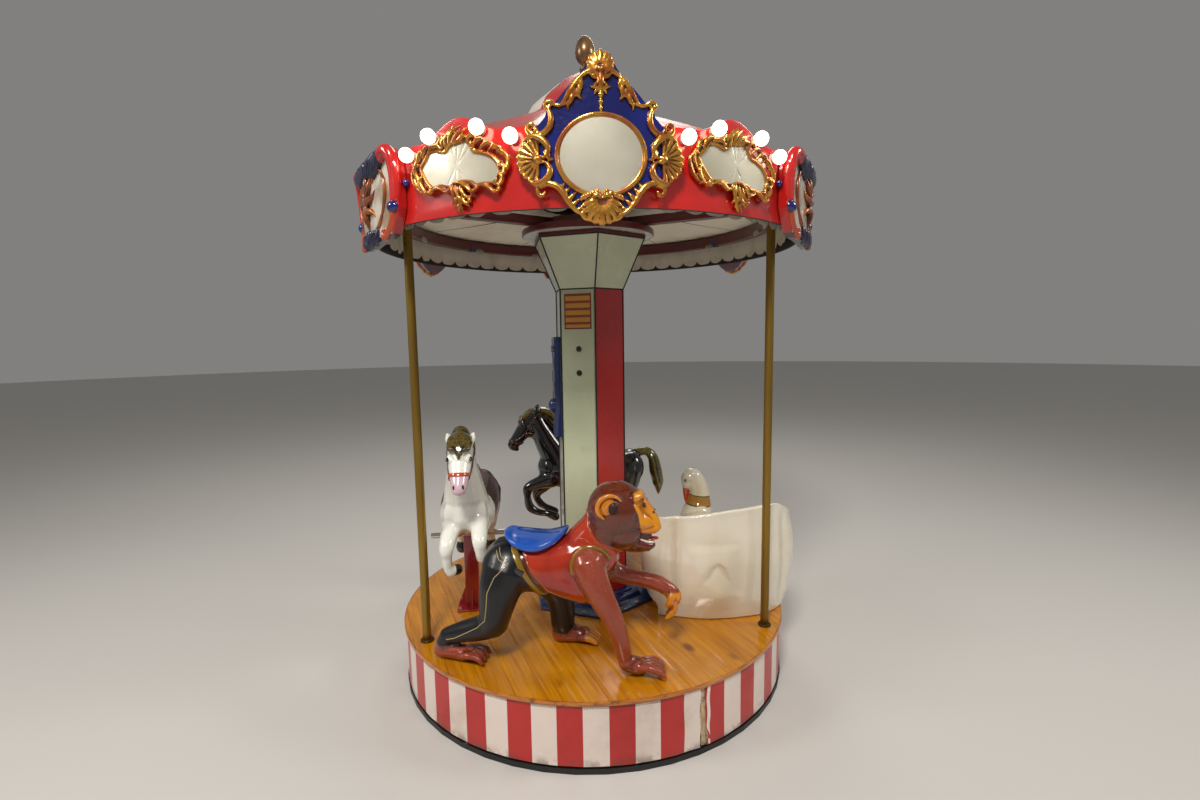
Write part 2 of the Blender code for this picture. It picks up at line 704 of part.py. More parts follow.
def make_monkey():
    """A monkey in a waistcoat and trousers crawling along, one hand lifted, with a dished saddle."""
    bm = bmesh.new()
    trunk = [(-0.205, 0, 0.370), (-0.040, 0, 0.364), (0.040, 0, 0.378), (0.095, 0, 0.402)]
    add_limb(bm, trunk, [0.100, 0.100, 0.104, 0.104])
    belly = [(-0.060, 0.026, 0.346), (0.030, 0.026, 0.332), (0.092, 0.026, 0.324)]
    add_pair(bm, belly, [0.070, 0.066, 0.066])
    add_pair(bm, [(-0.200, 0.046, 0.360), (-0.190, 0.046, 0.340)], [0.090, 0.080])
    add_limb(bm, [(0.092, 0, 0.440), (0.130, 0, 0.490), (0.170, 0, 0.540)], [0.088, 0.080, 0.084])
    add_ball(bm, (0.190, 0, 0.576), (0.106, 0.100, 0.108))
    add_limb(bm, [(0.240, 0, 0.554), (0.290, 0, 0.540), (0.326, 0, 0.528)], [0.054, 0.044, 0.027])
    add_limb(bm, [(0.222, 0, 0.484), (0.268, 0, 0.464), (0.304, 0, 0.456)], [0.056, 0.040, 0.028])
    add_ball(bm, (0.180, 0.106, 0.618), (0.042, 0.020, 0.044))
    add_ball(bm, (0.180, -0.106, 0.618), (0.042, 0.020, 0.044))
    thigh = [(-0.205, -0.052, 0.350), (-0.222, -0.074, 0.290), (-0.238, -0.078, 0.200), (-0.250, -0.072, 0.158)]
    add_limb(bm, thigh, [0.092, 0.078, 0.060, 0.055])
    shin = [(-0.246, -0.072, 0.158), (-0.300, -0.064, 0.134), (-0.380, -0.054, 0.108), (-0.448, -0.048, 0.086)]
    add_limb(bm, shin, [0.054, 0.048, 0.039, 0.032])
    foot = [(-0.476, -0.044, 0.040), (-0.345, -0.054, 0.030), (-0.305, -0.056, 0.022)]
    add_limb(bm, foot, [0.030, 0.036, 0.020])
    thigh = [(-0.190, 0.052, 0.345), (-0.120, 0.092, 0.285), (-0.062, 0.120, 0.205)]
    add_limb(bm, thigh, [0.088, 0.072, 0.056])
    add_limb(bm, [(-0.062, 0.120, 0.205), (-0.045, 0.126, 0.140), (-0.043, 0.127, 0.062)], [0.056, 0.049, 0.046])
    add_limb(bm, [(-0.052, 0.128, 0.034), (0.042, 0.131, 0.030), (0.082, 0.131, 0.020)], [0.034, 0.034, 0.020])
    upper = [(0.105, -0.078, 0.398), (0.128, -0.100, 0.350), (0.160, -0.108, 0.285), (0.196, -0.102, 0.210)]
    add_limb(bm, upper, [0.062, 0.052, 0.046, 0.038])
    add_limb(bm, [(0.196, -0.102, 0.210), (0.218, -0.086, 0.120), (0.230, -0.076, 0.050)], [0.038, 0.032, 0.030])
    add_limb(bm, [(0.236, -0.073, 0.044), (0.292, -0.066, 0.034), (0.350, -0.066, 0.024)], [0.032, 0.032, 0.020])
    upper = [(0.100, 0.078, 0.398), (0.140, 0.104, 0.330), (0.180, 0.116, 0.294), (0.255, 0.122, 0.284)]
    add_limb(bm, upper, [0.060, 0.047, 0.037, 0.034])
    add_limb(bm, [(0.255, 0.122, 0.284), (0.335, 0.120, 0.266), (0.380, 0.118, 0.240)], [0.034, 0.031, 0.028])
    add_limb(bm, [(0.386, 0.118, 0.230), (0.388, 0.118, 0.196), (0.374, 0.118, 0.162)], [0.028, 0.028, 0.020])
    monkey = fused("monkey", bm, VOXEL, 2600, "brown_fur")
    seat = block((-0.230, -0.130, SADDLE_BOTTOM - GAP), (0.018, 0.130, 0.56))
    ground = block((-0.7, -0.5, -0.2), (0.7, 0.5, GAP))
    cutters = [new_cutter("saddle_seat", seat), new_cutter("monkey_ground", ground)]
    for cutter in cutters:
        boolean(monkey, cutter)
    bm = bmesh.new()
    add_ball(bm, (-0.104, 0, SADDLE_BOTTOM), (0.119, 0.100, 0.040))
    cut_open(bm, (0, 0, SADDLE_BOTTOM), (0, 0, -1))
    saddle = new_part("monkey_saddle", mesh_of("monkey_saddle", bm), "blue_gloss")
    for piece in (monkey, saddle, *cutters):
        place_figure(piece, MONKEY_RADIUS, MONKEY_ANGLE)


def make_swan_bench():
    """A tub seat whose back slopes down to two wings, on the body of a swan with its neck in front.

    The swan turns its head towards the column.
    """
    outside = [
        (0, 0.480),
        (0.290, 0.480),
        (0.304, 0.380),
        (0.312, 0.270),
        (0.310, 0.172),
        (0.298, 0.073),
        (0.280, 0.016),
        (0.248, 0.014),
        (0.246, 0),
        (0, 0),
    ]
    tub = turned("tub", outside, "ivory_gloss", steps=40)
    bm = bmesh.new()
    bm.from_mesh(evaluated_mesh(tub))
    bpy.data.objects.remove(tub)
    cut_open(bm, (-0.110, 0, 0.462), (0.30, 0, 0.95))
    cut_open(bm, (0.060, 0, 0.405), (0.64, 0, 0.77))
    add_ball(bm, (0.225, 0, 0.180), (0.120, 0.150, 0.150))
    for side in (-1, 1):
        add_ball(bm, (0, 0.250 * side, 0.225), (0.165, 0.086, 0.150))
    add_limb(bm, [(0.250, -0.010, 0.200), (0.310, -0.022, 0.262), (0.328, -0.038, 0.322)], [0.098, 0.086, 0.066])
    add_limb(bm, [(0.328, -0.038, 0.322), (0.330, -0.042, 0.375), (0.330, -0.028, 0.425)], [0.066, 0.053, 0.052])
    add_limb(bm, [(0.330, -0.028, 0.425), (0.330, -0.004, 0.464), (0.330, 0.022, 0.440)], [0.052, 0.055, 0.036])
    add_limb(bm, [(0.330, 0.022, 0.440), (0.330, 0.029, 0.402), (0.330, 0.028, 0.338)], [0.036, 0.018, 0.010])
    bench = fused("swan_bench", bm, VOXEL, 1900, "ivory_gloss")
    inside = [(0, 0.600), (0.268, 0.600), (0.264, 0.260), (0.235, 0.205), (0, 0.200)]
    hollow = turned("hollow", inside, "ivory_gloss", steps=32)
    bm = bmesh.new()
    bm.from_mesh(evaluated_mesh(hollow))
    bpy.data.objects.remove(hollow)
    cut_open(bm, (0.165, 0, 0.3), (1, 0, 0))
    ground = block((-0.5, -0.5, -0.2), (0.5, 0.5, GAP))
    cutters = [new_cutter("bench_hollow", mesh_of("bench_hollow", bm)), new_cutter("bench_ground", ground)]
    for cutter in cutters:
        boolean(bench, cutter)
    for piece in (bench, *cutters):
        place_figure(piece, BENCH_RADIUS, BENCH_ANGLE, BENCH_TURN)


def main():
    make_base()
    make_drum_and_deck()
    make_skirts()
    make_column()
    make_door_and_box()
    make_poles()
    make_canopy_frame()
    make_valance()
    make_ceiling_and_roof()
    make_fascia()
    make_medallions_and_shields()
    make_horses()
    make_monkey()
    make_swan_bench()


main()
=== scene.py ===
import math

import bmesh
import bpy
import numpy as np
from mathutils import Matrix, Vector


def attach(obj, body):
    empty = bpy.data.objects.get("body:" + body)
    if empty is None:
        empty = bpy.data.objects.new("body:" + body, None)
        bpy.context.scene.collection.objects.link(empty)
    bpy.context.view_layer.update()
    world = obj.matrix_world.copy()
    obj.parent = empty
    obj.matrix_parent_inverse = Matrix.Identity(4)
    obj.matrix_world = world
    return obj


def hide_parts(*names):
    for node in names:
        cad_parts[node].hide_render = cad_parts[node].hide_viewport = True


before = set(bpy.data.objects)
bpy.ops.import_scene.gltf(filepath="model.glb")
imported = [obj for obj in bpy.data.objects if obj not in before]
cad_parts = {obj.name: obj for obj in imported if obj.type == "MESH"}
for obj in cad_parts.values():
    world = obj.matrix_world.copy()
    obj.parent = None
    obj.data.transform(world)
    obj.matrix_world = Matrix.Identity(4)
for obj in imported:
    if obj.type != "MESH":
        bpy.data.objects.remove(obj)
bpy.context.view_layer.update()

# The view: a phone held at breast height in front of the ride, with a wide lens.
# It leans a little to one side, and looks a little to the right of the axis and down.
LENS_MM, SENSOR_MM = 17.42, 36
EYE = (-0.1218, -2.6297, 1.4526)
heading, pitch, lean = math.radians(3.585), math.radians(6.25), -0.0146
camera_data = bpy.data.cameras.new("camera")
camera_data.lens = LENS_MM
camera_data.sensor_width = SENSOR_MM
camera_data.clip_start = 0.05
camera = bpy.data.objects.new("camera", camera_data)
bpy.context.scene.collection.objects.link(camera)
bpy.context.scene.camera = camera
ahead = Vector((math.sin(heading) * math.cos(pitch), math.cos(heading) * math.cos(pitch), -math.sin(pitch)))
aside = Vector((math.cos(heading), -math.sin(heading), 0))
upward = aside.cross(ahead)
across = math.cos(lean) * aside + math.sin(lean) * upward
up = math.cos(lean) * upward - math.sin(lean) * aside
camera.matrix_world = Matrix.Translation(EYE) @ Matrix((across, up, -ahead)).transposed().to_4x4()

# The studio: a plain pale floor, a soft lamp above the camera, a weaker one on each side and one behind.
# The air round it all is a pale even white, which fills the shadows under the roof.
LAMP_AIM = Vector((0, 0, 1.2))
bpy.ops.object.select_all(action="DESELECT")
bpy.ops.mesh.primitive_circle_add(vertices=96, radius=30, fill_type="NGON", location=(0, 0, -0.0005))
floor = bpy.context.active_object
floor.name = "floor"
floor_material = bpy.data.materials.new("pale_floor")
floor_material.use_nodes = True
floor_shader = floor_material.node_tree.nodes["Principled BSDF"]
floor_shader.inputs["Base Color"].default_value = (0.60, 0.58, 0.55, 1)
floor_shader.inputs["Roughness"].default_value = 0.75
floor.data.materials.append(floor_material)
for name, place, size, power in (
    ("front_lamp", (-1.0, -4.2, 5.2), 1.0, 230),
    ("left_lamp", (-4.2, -1.4, 3.6), 1.2, 70),
    ("right_lamp", (4.2, -1.0, 3.8), 1.2, 70),
    ("back_lamp", (0.6, 4.2, 5.4), 2.2, 60),
):
    lamp_data = bpy.data.lights.new(name, "AREA")
    lamp_data.size = size
    lamp_data.energy = power
    lamp_data.color = (1.0, 0.965, 0.91)
    lamp = bpy.data.objects.new(name, lamp_data)
    bpy.context.scene.collection.objects.link(lamp)
    facing = (Vector(place) - LAMP_AIM).to_track_quat("Z", "Y")
    lamp.matrix_world = Matrix.Translation(place) @ facing.to_matrix().to_4x4()
world = bpy.data.worlds.new("studio_air")
world.use_nodes = True
air = world.node_tree.nodes["Background"]
air.inputs["Color"].default_value = (1.0, 0.985, 0.955, 1)
air.inputs["Strength"].default_value = 0.22
bpy.context.scene.world = world
bpy.context.scene.view_settings.view_transform = "Standard"

# The base: a low round steel pan on the ground, painted black, with the bearing that carries the ride in
# its middle. Its rim is scuffed grey by shoes and mops.


def colour(red, green, blue):
    """A colour named as on a paint card, from 0 to 255."""
    parts = (red / 255, green / 255, blue / 255)
    return (*(part / 12.92 if part <= 0.04045 else ((part + 0.055) / 1.055) ** 2.4 for part in parts), 1.0)


class Sum:
    """One value that changes over a surface. Plain sums with it add Math nodes to its finish."""

    def __init__(self, finish, socket):
        self.finish = finish
        self.socket = socket

    def math(self, operation, *values):
        return self.finish.node("Math", {"operation": operation}, dict(enumerate(values)))

    def __add__(self, other):
        return self.math("ADD", self, other)

    def __sub__(self, other):
        return self.math("SUBTRACT", self, other)

    def __rsub__(self, other):
        return self.math("SUBTRACT", other, self)

    def __mul__(self, other):
        return self.math("MULTIPLY", self, other)

    def __truediv__(self, other):
        return self.math("DIVIDE", self, other)

    def __pow__(self, other):
        return self.math("POWER", self, other)

    def __mod__(self, other):
        return self.math("FLOORED_MODULO", self, other)

    def __abs__(self):
        return self.math("ABSOLUTE", self)

    def floor(self):
        return self.math("FLOOR", self)

    def least(self, other):
        return self.math("MINIMUM", self, other)

    def most(self, other):
        return self.math("MAXIMUM", self, other)

    def between(self, low, high):
        """0 below low, 1 above high, and smooth from one to the other."""
        sockets = {"Value": self, "From Min": low, "From Max": high}
        return self.finish.node("MapRange", {"interpolation_type": "SMOOTHSTEP"}, sockets)


class Finish:
    """A material in the making. The sockets of its shader are fed by their names."""

    def __init__(self, name, **constants):
        self.material = bpy.data.materials.new(name)
        self.material.use_nodes = True
        self.tree = self.material.node_tree
        self.shader = self.tree.nodes["Principled BSDF"]
        for socket, value in constants.items():
            self.shader.inputs[socket.replace("_", " ").title()].default_value = value
        self.where = self.node("TexCoord", output="Object")

    def node(self, kind, settings=None, sockets=None, output=0):
        """One node: its type, its settings, and the values or links of its sockets."""
        made = self.tree.nodes.new("ShaderNode" + kind)
        for name, value in (settings or {}).items():
            setattr(made, name, value)
        for name, value in (sockets or {}).items():
            if isinstance(value, Sum):
                self.tree.links.new(value.socket, made.inputs[name])
            else:
                made.inputs[name].default_value = value
        return Sum(self, made.outputs[output])

    def feed(self, **values):
        for socket, value in values.items():
            self.tree.links.new(value.socket, self.shader.inputs[socket.replace("_", " ").title()])

    def moved(self, turn=0.0, size=(1, 1, 1)):
        """Where a point lies in a frame of its own, with that turn in degrees about Z, and that size."""
        sockets = {"Vector": self.where, "Rotation": (0, 0, math.radians(turn)), "Scale": size}
        return self.node("Mapping", {"vector_type": "TEXTURE"}, sockets)

    def parts(self, vector):
        """The X, Y and Z of a place."""
        return [self.node("SeparateXYZ", sockets={"Vector": vector}, output=axis) for axis in "XYZ"]

    def noise(self, scale, vector=None, detail=3.0, roughness=0.5):
        sockets = {"Vector": vector or self.where, "Scale": scale, "Detail": detail, "Roughness": roughness}
        return self.node("TexNoise", sockets=sockets)

    def mix(self, share, first, second):
        """The first colour where share is 0, and the second where it is 1."""
        return self.node("Mix", {"data_type": "RGBA"}, {0: share, 6: first, 7: second}, 2)

    def bump(self, height, depth):
        """Feeds the relief of the surface: height from 0 to 1, times a depth in metres."""
        self.feed(normal=self.node("Bump", sockets={"Distance": depth, "Height": height}))

    def hollow(self, low, high):
        """1 in the hollows that are marked on the points of a piece, and 0 on its ridges."""
        return self.node("Attribute", {"attribute_name": "hollow"}, output="Fac").between(low, high)


def paint(name, base, roughness, metallic, coat, worn=(0, 0, 0, 1), wear=0.15, grain=28.0, relief=0.0004):
    """A paint with faint clouds, dull patches and small worn specks of a second colour."""
    finish = Finish(name, metallic=metallic, coat_weight=coat, coat_roughness=0.08)
    clouds = finish.noise(3.2, detail=4)
    specks = finish.noise(grain, detail=6, roughness=0.7).between(0.60, 0.72) * wear
    shaded = [part * 0.72 for part in base[:3]]
    body = finish.mix(clouds.between(0.35, 0.75) * 0.5, base, (*shaded, 1))
    finish.feed(base_color=finish.mix(specks, body, worn))
    finish.feed(roughness=clouds.between(0.3, 0.8) * 0.12 + roughness + specks * 0.4)
    if relief:
        finish.bump(finish.noise(9, detail=5), relief)
    return finish.material


def recoat(node, material):
    """A finish for a sub-part whose solid is kept as it is."""
    sub_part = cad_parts[node]
    sub_part.data.materials.clear()
    sub_part.data.materials.append(material)


black_steel = paint("black_steel", colour(16, 15, 15), 0.45, 0.0, 0.1, colour(120, 115, 108), 0.5, 45)
recoat("base_pan", black_steel)

# The drum under the floor: a steel chassis closed with fibre board, which shows only through the torn skirt.
# The board is raw and beige, with dark glue and dirt on it.
fibre_board = Finish("fibre_board", roughness=0.9)
smudges = fibre_board.noise(14, detail=5, roughness=0.65).between(0.45, 0.68)
fibre_board.feed(base_color=fibre_board.mix(smudges, colour(196, 168, 128), colour(78, 56, 36)))
fibre_board.bump(fibre_board.noise(160, detail=4), 0.0006)
recoat("underframe_drum", fibre_board.material)

# The deck: pine staves glued edge to edge, sawn to a circle and bound with a thin bent strip of the same
# wood. It is varnished amber, with brown knots and small dents. The staves lean 20 degrees from front to
# back.
DECK_TOP = 0.260
DECK_RADIUS = 0.850
STAVE = 0.092
STAVE_LEAN = 20


def lone(piece):
    """Leaves one piece selected and active, in object mode."""
    if bpy.context.mode != "OBJECT":
        bpy.ops.object.mode_set(mode="OBJECT")
    bpy.ops.object.select_all(action="DESELECT")
    piece.select_set(True)
    bpy.context.view_layer.objects.active = piece
    return piece


def added(name):
    """The primitive just added, under the name of its piece."""
    piece = bpy.context.active_object
    piece.name = name
    piece.data.name = name
    return piece


def free():
    """Nothing selected, before a primitive is added."""
    if bpy.context.mode != "OBJECT":
        bpy.ops.object.mode_set(mode="OBJECT")
    bpy.ops.object.select_all(action="DESELECT")


def chosen(piece, kind, test):
    """Opens a piece for editing, with the points or faces selected that pass a test of centre and normal."""
    lone(piece)
    bpy.ops.object.mode_set(mode="EDIT")
    bpy.ops.mesh.select_mode(type=kind)
    bpy.ops.mesh.select_all(action="DESELECT")
    shape = bmesh.from_edit_mesh(piece.data)
    shape.normal_update()
    for element in shape.verts if kind == "VERT" else shape.faces:
        centre = element.co if kind == "VERT" else element.calc_center_median()
        if test(centre, element.normal):
            element.select_set(True)
    shape.select_flush_mode()
    bmesh.update_edit_mesh(piece.data)


def modified(piece, kind, **settings):
    """Adds a modifier to a piece and applies it."""
    lone(piece)
    modifier = piece.modifiers.new(kind.lower(), kind)
    for setting, value in settings.items():
        setattr(modifier, setting, value)
    bpy.ops.object.modifier_apply(modifier=modifier.name)
    return piece


def joined(name, pieces):
    """One piece of several, under a name."""
    lone(pieces[0])
    for piece in pieces:
        piece.select_set(True)
    if len(pieces) > 1:
        bpy.ops.object.join()
    return added(name)


def copied(piece, name):
    """A copy of a piece with its own mesh."""
    lone(piece)
    bpy.ops.object.duplicate(linked=False)
    return added(name)


def settled(piece):
    """Puts the place, turn and size of a piece into its mesh."""
    lone(piece)
    bpy.ops.object.transform_apply(location=True, rotation=True, scale=True)
    return piece


def smooth(piece, angle):
    """Shades a piece smooth, but not across edges that turn more than an angle."""
    lone(piece)
    bpy.ops.object.shade_smooth_by_angle(angle=math.radians(angle))
    return piece


def coat(piece, *materials):
    """Gives a piece its finishes, in the order of its faces' slots."""
    piece.data.materials.clear()
    for material in materials:
        piece.data.materials.append(material)
    return piece


def fitted(piece, slot, *nodes, body="turntable"):
    """A finished piece: it turns with its body and stands for solids. Its slot is not used."""
    settled(piece)
    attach(piece, body)
    if nodes:
        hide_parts(*nodes)
    return piece


def block(name, place, size, tilt=(0, 0, 0)):
    """A box with its middle at a place."""
    free()
    bpy.ops.mesh.primitive_cube_add(size=1, location=place, scale=size, rotation=tilt)
    return settled(added(name))


def rod(name, vertices, radius, depth, place, tilt=(0, 0, 0)):
    """A round bar, or one with a few flat sides, with its middle at a place."""
    free()
    bpy.ops.mesh.primitive_cylinder_add(
        vertices=vertices, radius=radius, depth=depth, location=place, rotation=tilt
    )
    return settled(added(name))


def ball(name, segments, rings, place, half_sizes):
    """A sphere, or a flattened one, with its middle at a place."""
    free()
    bpy.ops.mesh.primitive_uv_sphere_add(
        segments=segments, ring_count=rings, radius=1, location=place, scale=half_sizes
    )
    return settled(added(name))


def grid(name, columns, rows):
    """A flat grid, one unit wide and high, to be laid in its shape point by point."""
    free()
    bpy.ops.mesh.primitive_grid_add(x_subdivisions=columns, y_subdivisions=rows, size=1)
    return settled(added(name))


def closed(piece, weld=0.0001, cuts=0):
    """Welds the ends of a rolled grid together and turns its faces outwards, with cuts across them first."""
    lone(piece)
    bpy.ops.object.mode_set(mode="EDIT")
    bpy.ops.mesh.select_all(action="SELECT")
    if cuts:
        bpy.ops.mesh.subdivide(number_cuts=cuts)
    if weld:
        bpy.ops.mesh.remove_doubles(threshold=weld)
    bpy.ops.mesh.normals_make_consistent(inside=False)
    bpy.ops.object.mode_set(mode="OBJECT")
    return piece


def turned(name, profile, steps):
    """A body shaped as on a lathe: a profile of (radius, height) is drawn, then spun round the axis."""
    free()
    bpy.ops.mesh.primitive_plane_add(size=0.001, location=(0, 0, 0))
    piece = added(name)
    bpy.ops.object.mode_set(mode="EDIT")
    bpy.ops.mesh.select_mode(type="VERT")
    bpy.ops.mesh.select_all(action="SELECT")
    bpy.ops.mesh.merge(type="CENTER")
    bpy.ops.transform.translate(value=(profile[0][0], 0, profile[0][1]))
    for start, end in zip(profile, profile[1:]):
        step = (end[0] - start[0], 0, end[1] - start[1])
        bpy.ops.mesh.extrude_region_move(TRANSFORM_OT_translate={"value": step})
    bpy.ops.mesh.select_all(action="SELECT")
    bpy.ops.mesh.spin(steps=steps, angle=math.tau, center=(0, 0, 0), axis=(0, 0, 1))
    return closed(piece, weld=0.00002)


stave_count = int(2 * DECK_RADIUS / STAVE) + 2
first = -(stave_count - 1) / 2 * STAVE
deck = block("deck_staves", (first, 0, DECK_TOP - 0.007), (STAVE - 0.0005, 1.8, 0.0136))
modified(deck, "BEVEL", width=0.0003, segments=2)
modified(
    deck, "ARRAY", count=stave_count,
    use_relative_offset=False, use_constant_offset=True, constant_offset_displace=(STAVE, 0, 0),
)
saw = rod("saw", 180, DECK_RADIUS - 0.0065, 0.1, (0, 0, DECK_TOP))
modified(deck, "BOOLEAN", object=saw, operation="INTERSECT", solver="EXACT")
bpy.data.objects.remove(saw)
deck.rotation_euler.z = math.radians(STAVE_LEAN)
smooth(deck, 30)

varnished_pine = Finish("varnished_pine", coat_weight=0.6, coat_roughness=0.12)
along = varnished_pine.moved(turn=STAVE_LEAN)
x, y, _ = varnished_pine.parts(along)
stave_number = ((x + 10 * STAVE + STAVE / 2) / STAVE).floor()
tone = varnished_pine.node("TexWhiteNoise", {"noise_dimensions": "1D"}, {"W": stave_number + 7.3})
drift = varnished_pine.node("CombineXYZ", sockets={0: x, 1: y * 0.045 + tone * 3, 2: stave_number * 0.37})
rings = varnished_pine.noise(58, drift, detail=5, roughness=0.62)
pores = varnished_pine.node("CombineXYZ", sockets={0: x, 1: y * 0.02 + tone * 5, 2: stave_number * 0.61})
fine = varnished_pine.noise(260, pores, detail=3).between(0.50, 0.78)
pale, amber, brown = colour(212, 142, 14), colour(180, 108, 6), colour(104, 48, 6)
wood = varnished_pine.mix(rings.between(0.32, 0.72), pale, amber)
wood = varnished_pine.mix(fine * 0.35, wood, brown)
wood = varnished_pine.mix(tone * 0.2, wood, colour(150, 84, 8))
knot_place = varnished_pine.node("CombineXYZ", sockets={0: x, 1: y * 0.55, 2: 3.1})
knots = varnished_pine.node("TexVoronoi", sockets={"Vector": knot_place, "Scale": 6.2}, output="Distance")
knot_share = 1 - knots.between(0.05, 0.16)
sparse = varnished_pine.noise(2.3, knot_place, detail=1).between(0.50, 0.56)
wood = varnished_pine.mix(knot_share * sparse * 0.8, wood, colour(92, 40, 10))
dirt = varnished_pine.noise(34, detail=6, roughness=0.75).between(0.63, 0.72)
patches = varnished_pine.noise(2.1, detail=3).between(0.45, 0.65)
wood = varnished_pine.mix(dirt * patches * 0.75, wood, colour(58, 26, 10))
varnished_pine.feed(base_color=wood)
varnished_pine.feed(
    roughness=varnished_pine.noise(7, detail=4).between(0.35, 0.75) * 0.16 + 0.16 + dirt * 0.3
)
varnished_pine.bump(rings * 0.5 + fine * 0.4 + dirt * 0.4, 0.0003)
fitted(coat(deck, varnished_pine.material), "varnished_pine", "deck")

# The binding strip is bent round the staves and stands a hair above them, with a rounded outer edge.
# Its varnish has worn through in places, down to brown wood.
rim_profile = [
    (DECK_RADIUS - 0.006, DECK_TOP - 0.0005),
    (DECK_RADIUS - 0.005, DECK_TOP),
    (DECK_RADIUS - 0.0022, DECK_TOP - 0.0002),
    (DECK_RADIUS - 0.0006, DECK_TOP - 0.0014),
    (DECK_RADIUS, DECK_TOP - 0.004),
    (DECK_RADIUS, DECK_TOP - 0.012),
    (DECK_RADIUS - 0.0012, DECK_TOP - 0.0145),
    (DECK_RADIUS - 0.004, DECK_TOP - 0.015),
    (DECK_RADIUS - 0.006, DECK_TOP - 0.014),
    (DECK_RADIUS - 0.006, DECK_TOP - 0.0005),
]
deck_rim = smooth(turned("deck_rim", rim_profile, 180), 40)
strip = Finish("binding_strip", coat_weight=0.8, coat_roughness=0.12)
rubbed = strip.noise(30, detail=6, roughness=0.7).between(0.52, 0.66)
streaks = strip.noise(90, strip.moved(size=(6, 6, 0.3)), detail=3).between(0.4, 0.7)
bare = strip.mix(streaks, colour(196, 118, 28), colour(150, 78, 16))
strip.feed(base_color=strip.mix(rubbed * 0.8, bare, colour(84, 38, 14)), roughness=rubbed * 0.3 + 0.2)
strip.bump(rubbed + streaks * 0.3, 0.0005)
fitted(coat(deck_rim, strip.material), "varnished_pine")

# The skirt: striped vinyl tacked on under the floor's edge, in three lengths, with a doubled hem sewn along
# the top. At the front right a seam has burst, and the cloth beside it puckers and hangs open over the
# board behind.
SKIRT_RADIUS = 0.840
SKIRT_TOP = 0.2445
SKIRT_BOTTOM = 0.0258
STRIPE, STRIPE_START = 6, 5.6
BURST = (22.8, 24.7)
SEAM_TURN = sum(BURST) / 2
skirt_ends = [(BURST[1], 143.7), (144.0, 263.7), (264.0, BURST[0] + 360)]


def round_axis(radius, angle, height=0.0):
    """A place from its distance to the axis and its angle: 0 at the front, anticlockwise seen from above."""
    turn = math.radians(angle)
    return Vector((radius * math.sin(turn), -radius * math.cos(turn), height))


def past_seam(angle):
    """How far round from the burst seam an angle lies, in degrees."""
    return (angle - SEAM_TURN + 180) % 360 - 180


def pucker(angle, height):
    """How far the cloth stands off its place beside the burst seam, and how far it is pulled along."""
    past = past_seam(angle)
    share = (height - SKIRT_BOTTOM) / (SKIRT_TOP - SKIRT_BOTTOM)
    near = math.exp(-(((abs(past) - 1) / 7.5) ** 2)) if abs(past) < 30 else 0.0
    folds = math.sin(share * 9 + past * 0.42) * 0.5 + math.sin(share * 4.1 - past * 0.9 + 1.3) * 0.5
    out = 0.0042 * near * (0.5 + 0.5 * folds)
    even = 0.0006 * math.sin(angle * 0.9) * math.sin(share * 3 + angle * 0.21)
    along_cloth = 0.45 * near * math.sin(share * 6.0 + (1 if past > 0 else 0) * 1.4)
    edge = math.exp(-((past / 1.7) ** 2)) * (1 if past > 0 else -1)
    gap = edge * (0.25 * math.sin(share * 5.1 + 0.4) + 0.15 * math.sin(share * 13))
    return out + even, along_cloth * 0.25 + gap - (0.25 if past > 0 else 0) * near


def stained_vinyl(name):
    """A vinyl with its weave and its stains, to be coloured."""
    cloth = Finish(name, coat_weight=0.25, coat_roughness=0.3)
    return cloth, cloth.noise(700, detail=2), cloth.noise(4.5, detail=6, roughness=0.65).between(0.48, 0.75)


vinyl, weave, stain = stained_vinyl("striped_vinyl")
u, v, _ = vinyl.parts(vinyl.node("UVMap", {"uv_map": "cloth"}))
deep_red = colour(186, 34, 30)
pale = vinyl.mix(stain * 0.45, colour(232, 216, 206), colour(186, 158, 136))
deep = vinyl.mix(stain * 0.5, deep_red, (deep_red[0] * 0.55, deep_red[1] * 0.5, deep_red[2] * 0.5, 1))
painted = vinyl.mix((u / STRIPE % 2 - 1).between(-0.004, 0.004), pale, deep)
foot = 1 - v.between(0.0, 0.16)
painted = vinyl.mix(foot * vinyl.noise(22, detail=5).between(0.42, 0.6) * 0.55, painted, colour(92, 66, 52))
vinyl.feed(base_color=painted, roughness=stain * 0.2 + 0.36)
vinyl.bump(weave * 0.5 + vinyl.noise(26, detail=4) * 0.8, 0.0005)


def skirt_length(name, start, end):
    """A strip of the skirt, laid as a grid and then wrapped round the drum."""
    length = grid(name, round((end - start) / 0.75), 22)
    corners = length.data.uv_layers[0] if length.data.uv_layers else length.data.uv_layers.new()
    corners.name = "cloth"
    across = {}
    for point in length.data.vertices:
        angle = start + (point.co.x + 0.5) * (end - start)
        share = point.co.y + 0.5
        across[point.index] = (angle, share)
        height = SKIRT_BOTTOM + share * (SKIRT_TOP - SKIRT_BOTTOM)
        out, slip = pucker(angle, height)
        point.co = round_axis(SKIRT_RADIUS + out, angle + slip, height)
    for corner in length.data.loops:
        angle, share = across[corner.vertex_index]
        corners.data[corner.index].uv = (angle + STRIPE_START, share)
    modified(length, "SOLIDIFY", thickness=0.0009, offset=0)
    return smooth(length, 60)


for number, (start, end) in enumerate(skirt_ends, 1):
    skirt = skirt_length(f"skirt_cloth_{number}", start, end)
    fitted(coat(skirt, vinyl.material), "striped_vinyl", f"skirt_{number}")

# The torn edge: where the seam has burst, a strip of hessian backing shows, frayed and grey at its edges.
# On its right the doubled hem of the next length stands up white, with the stitches still in it.


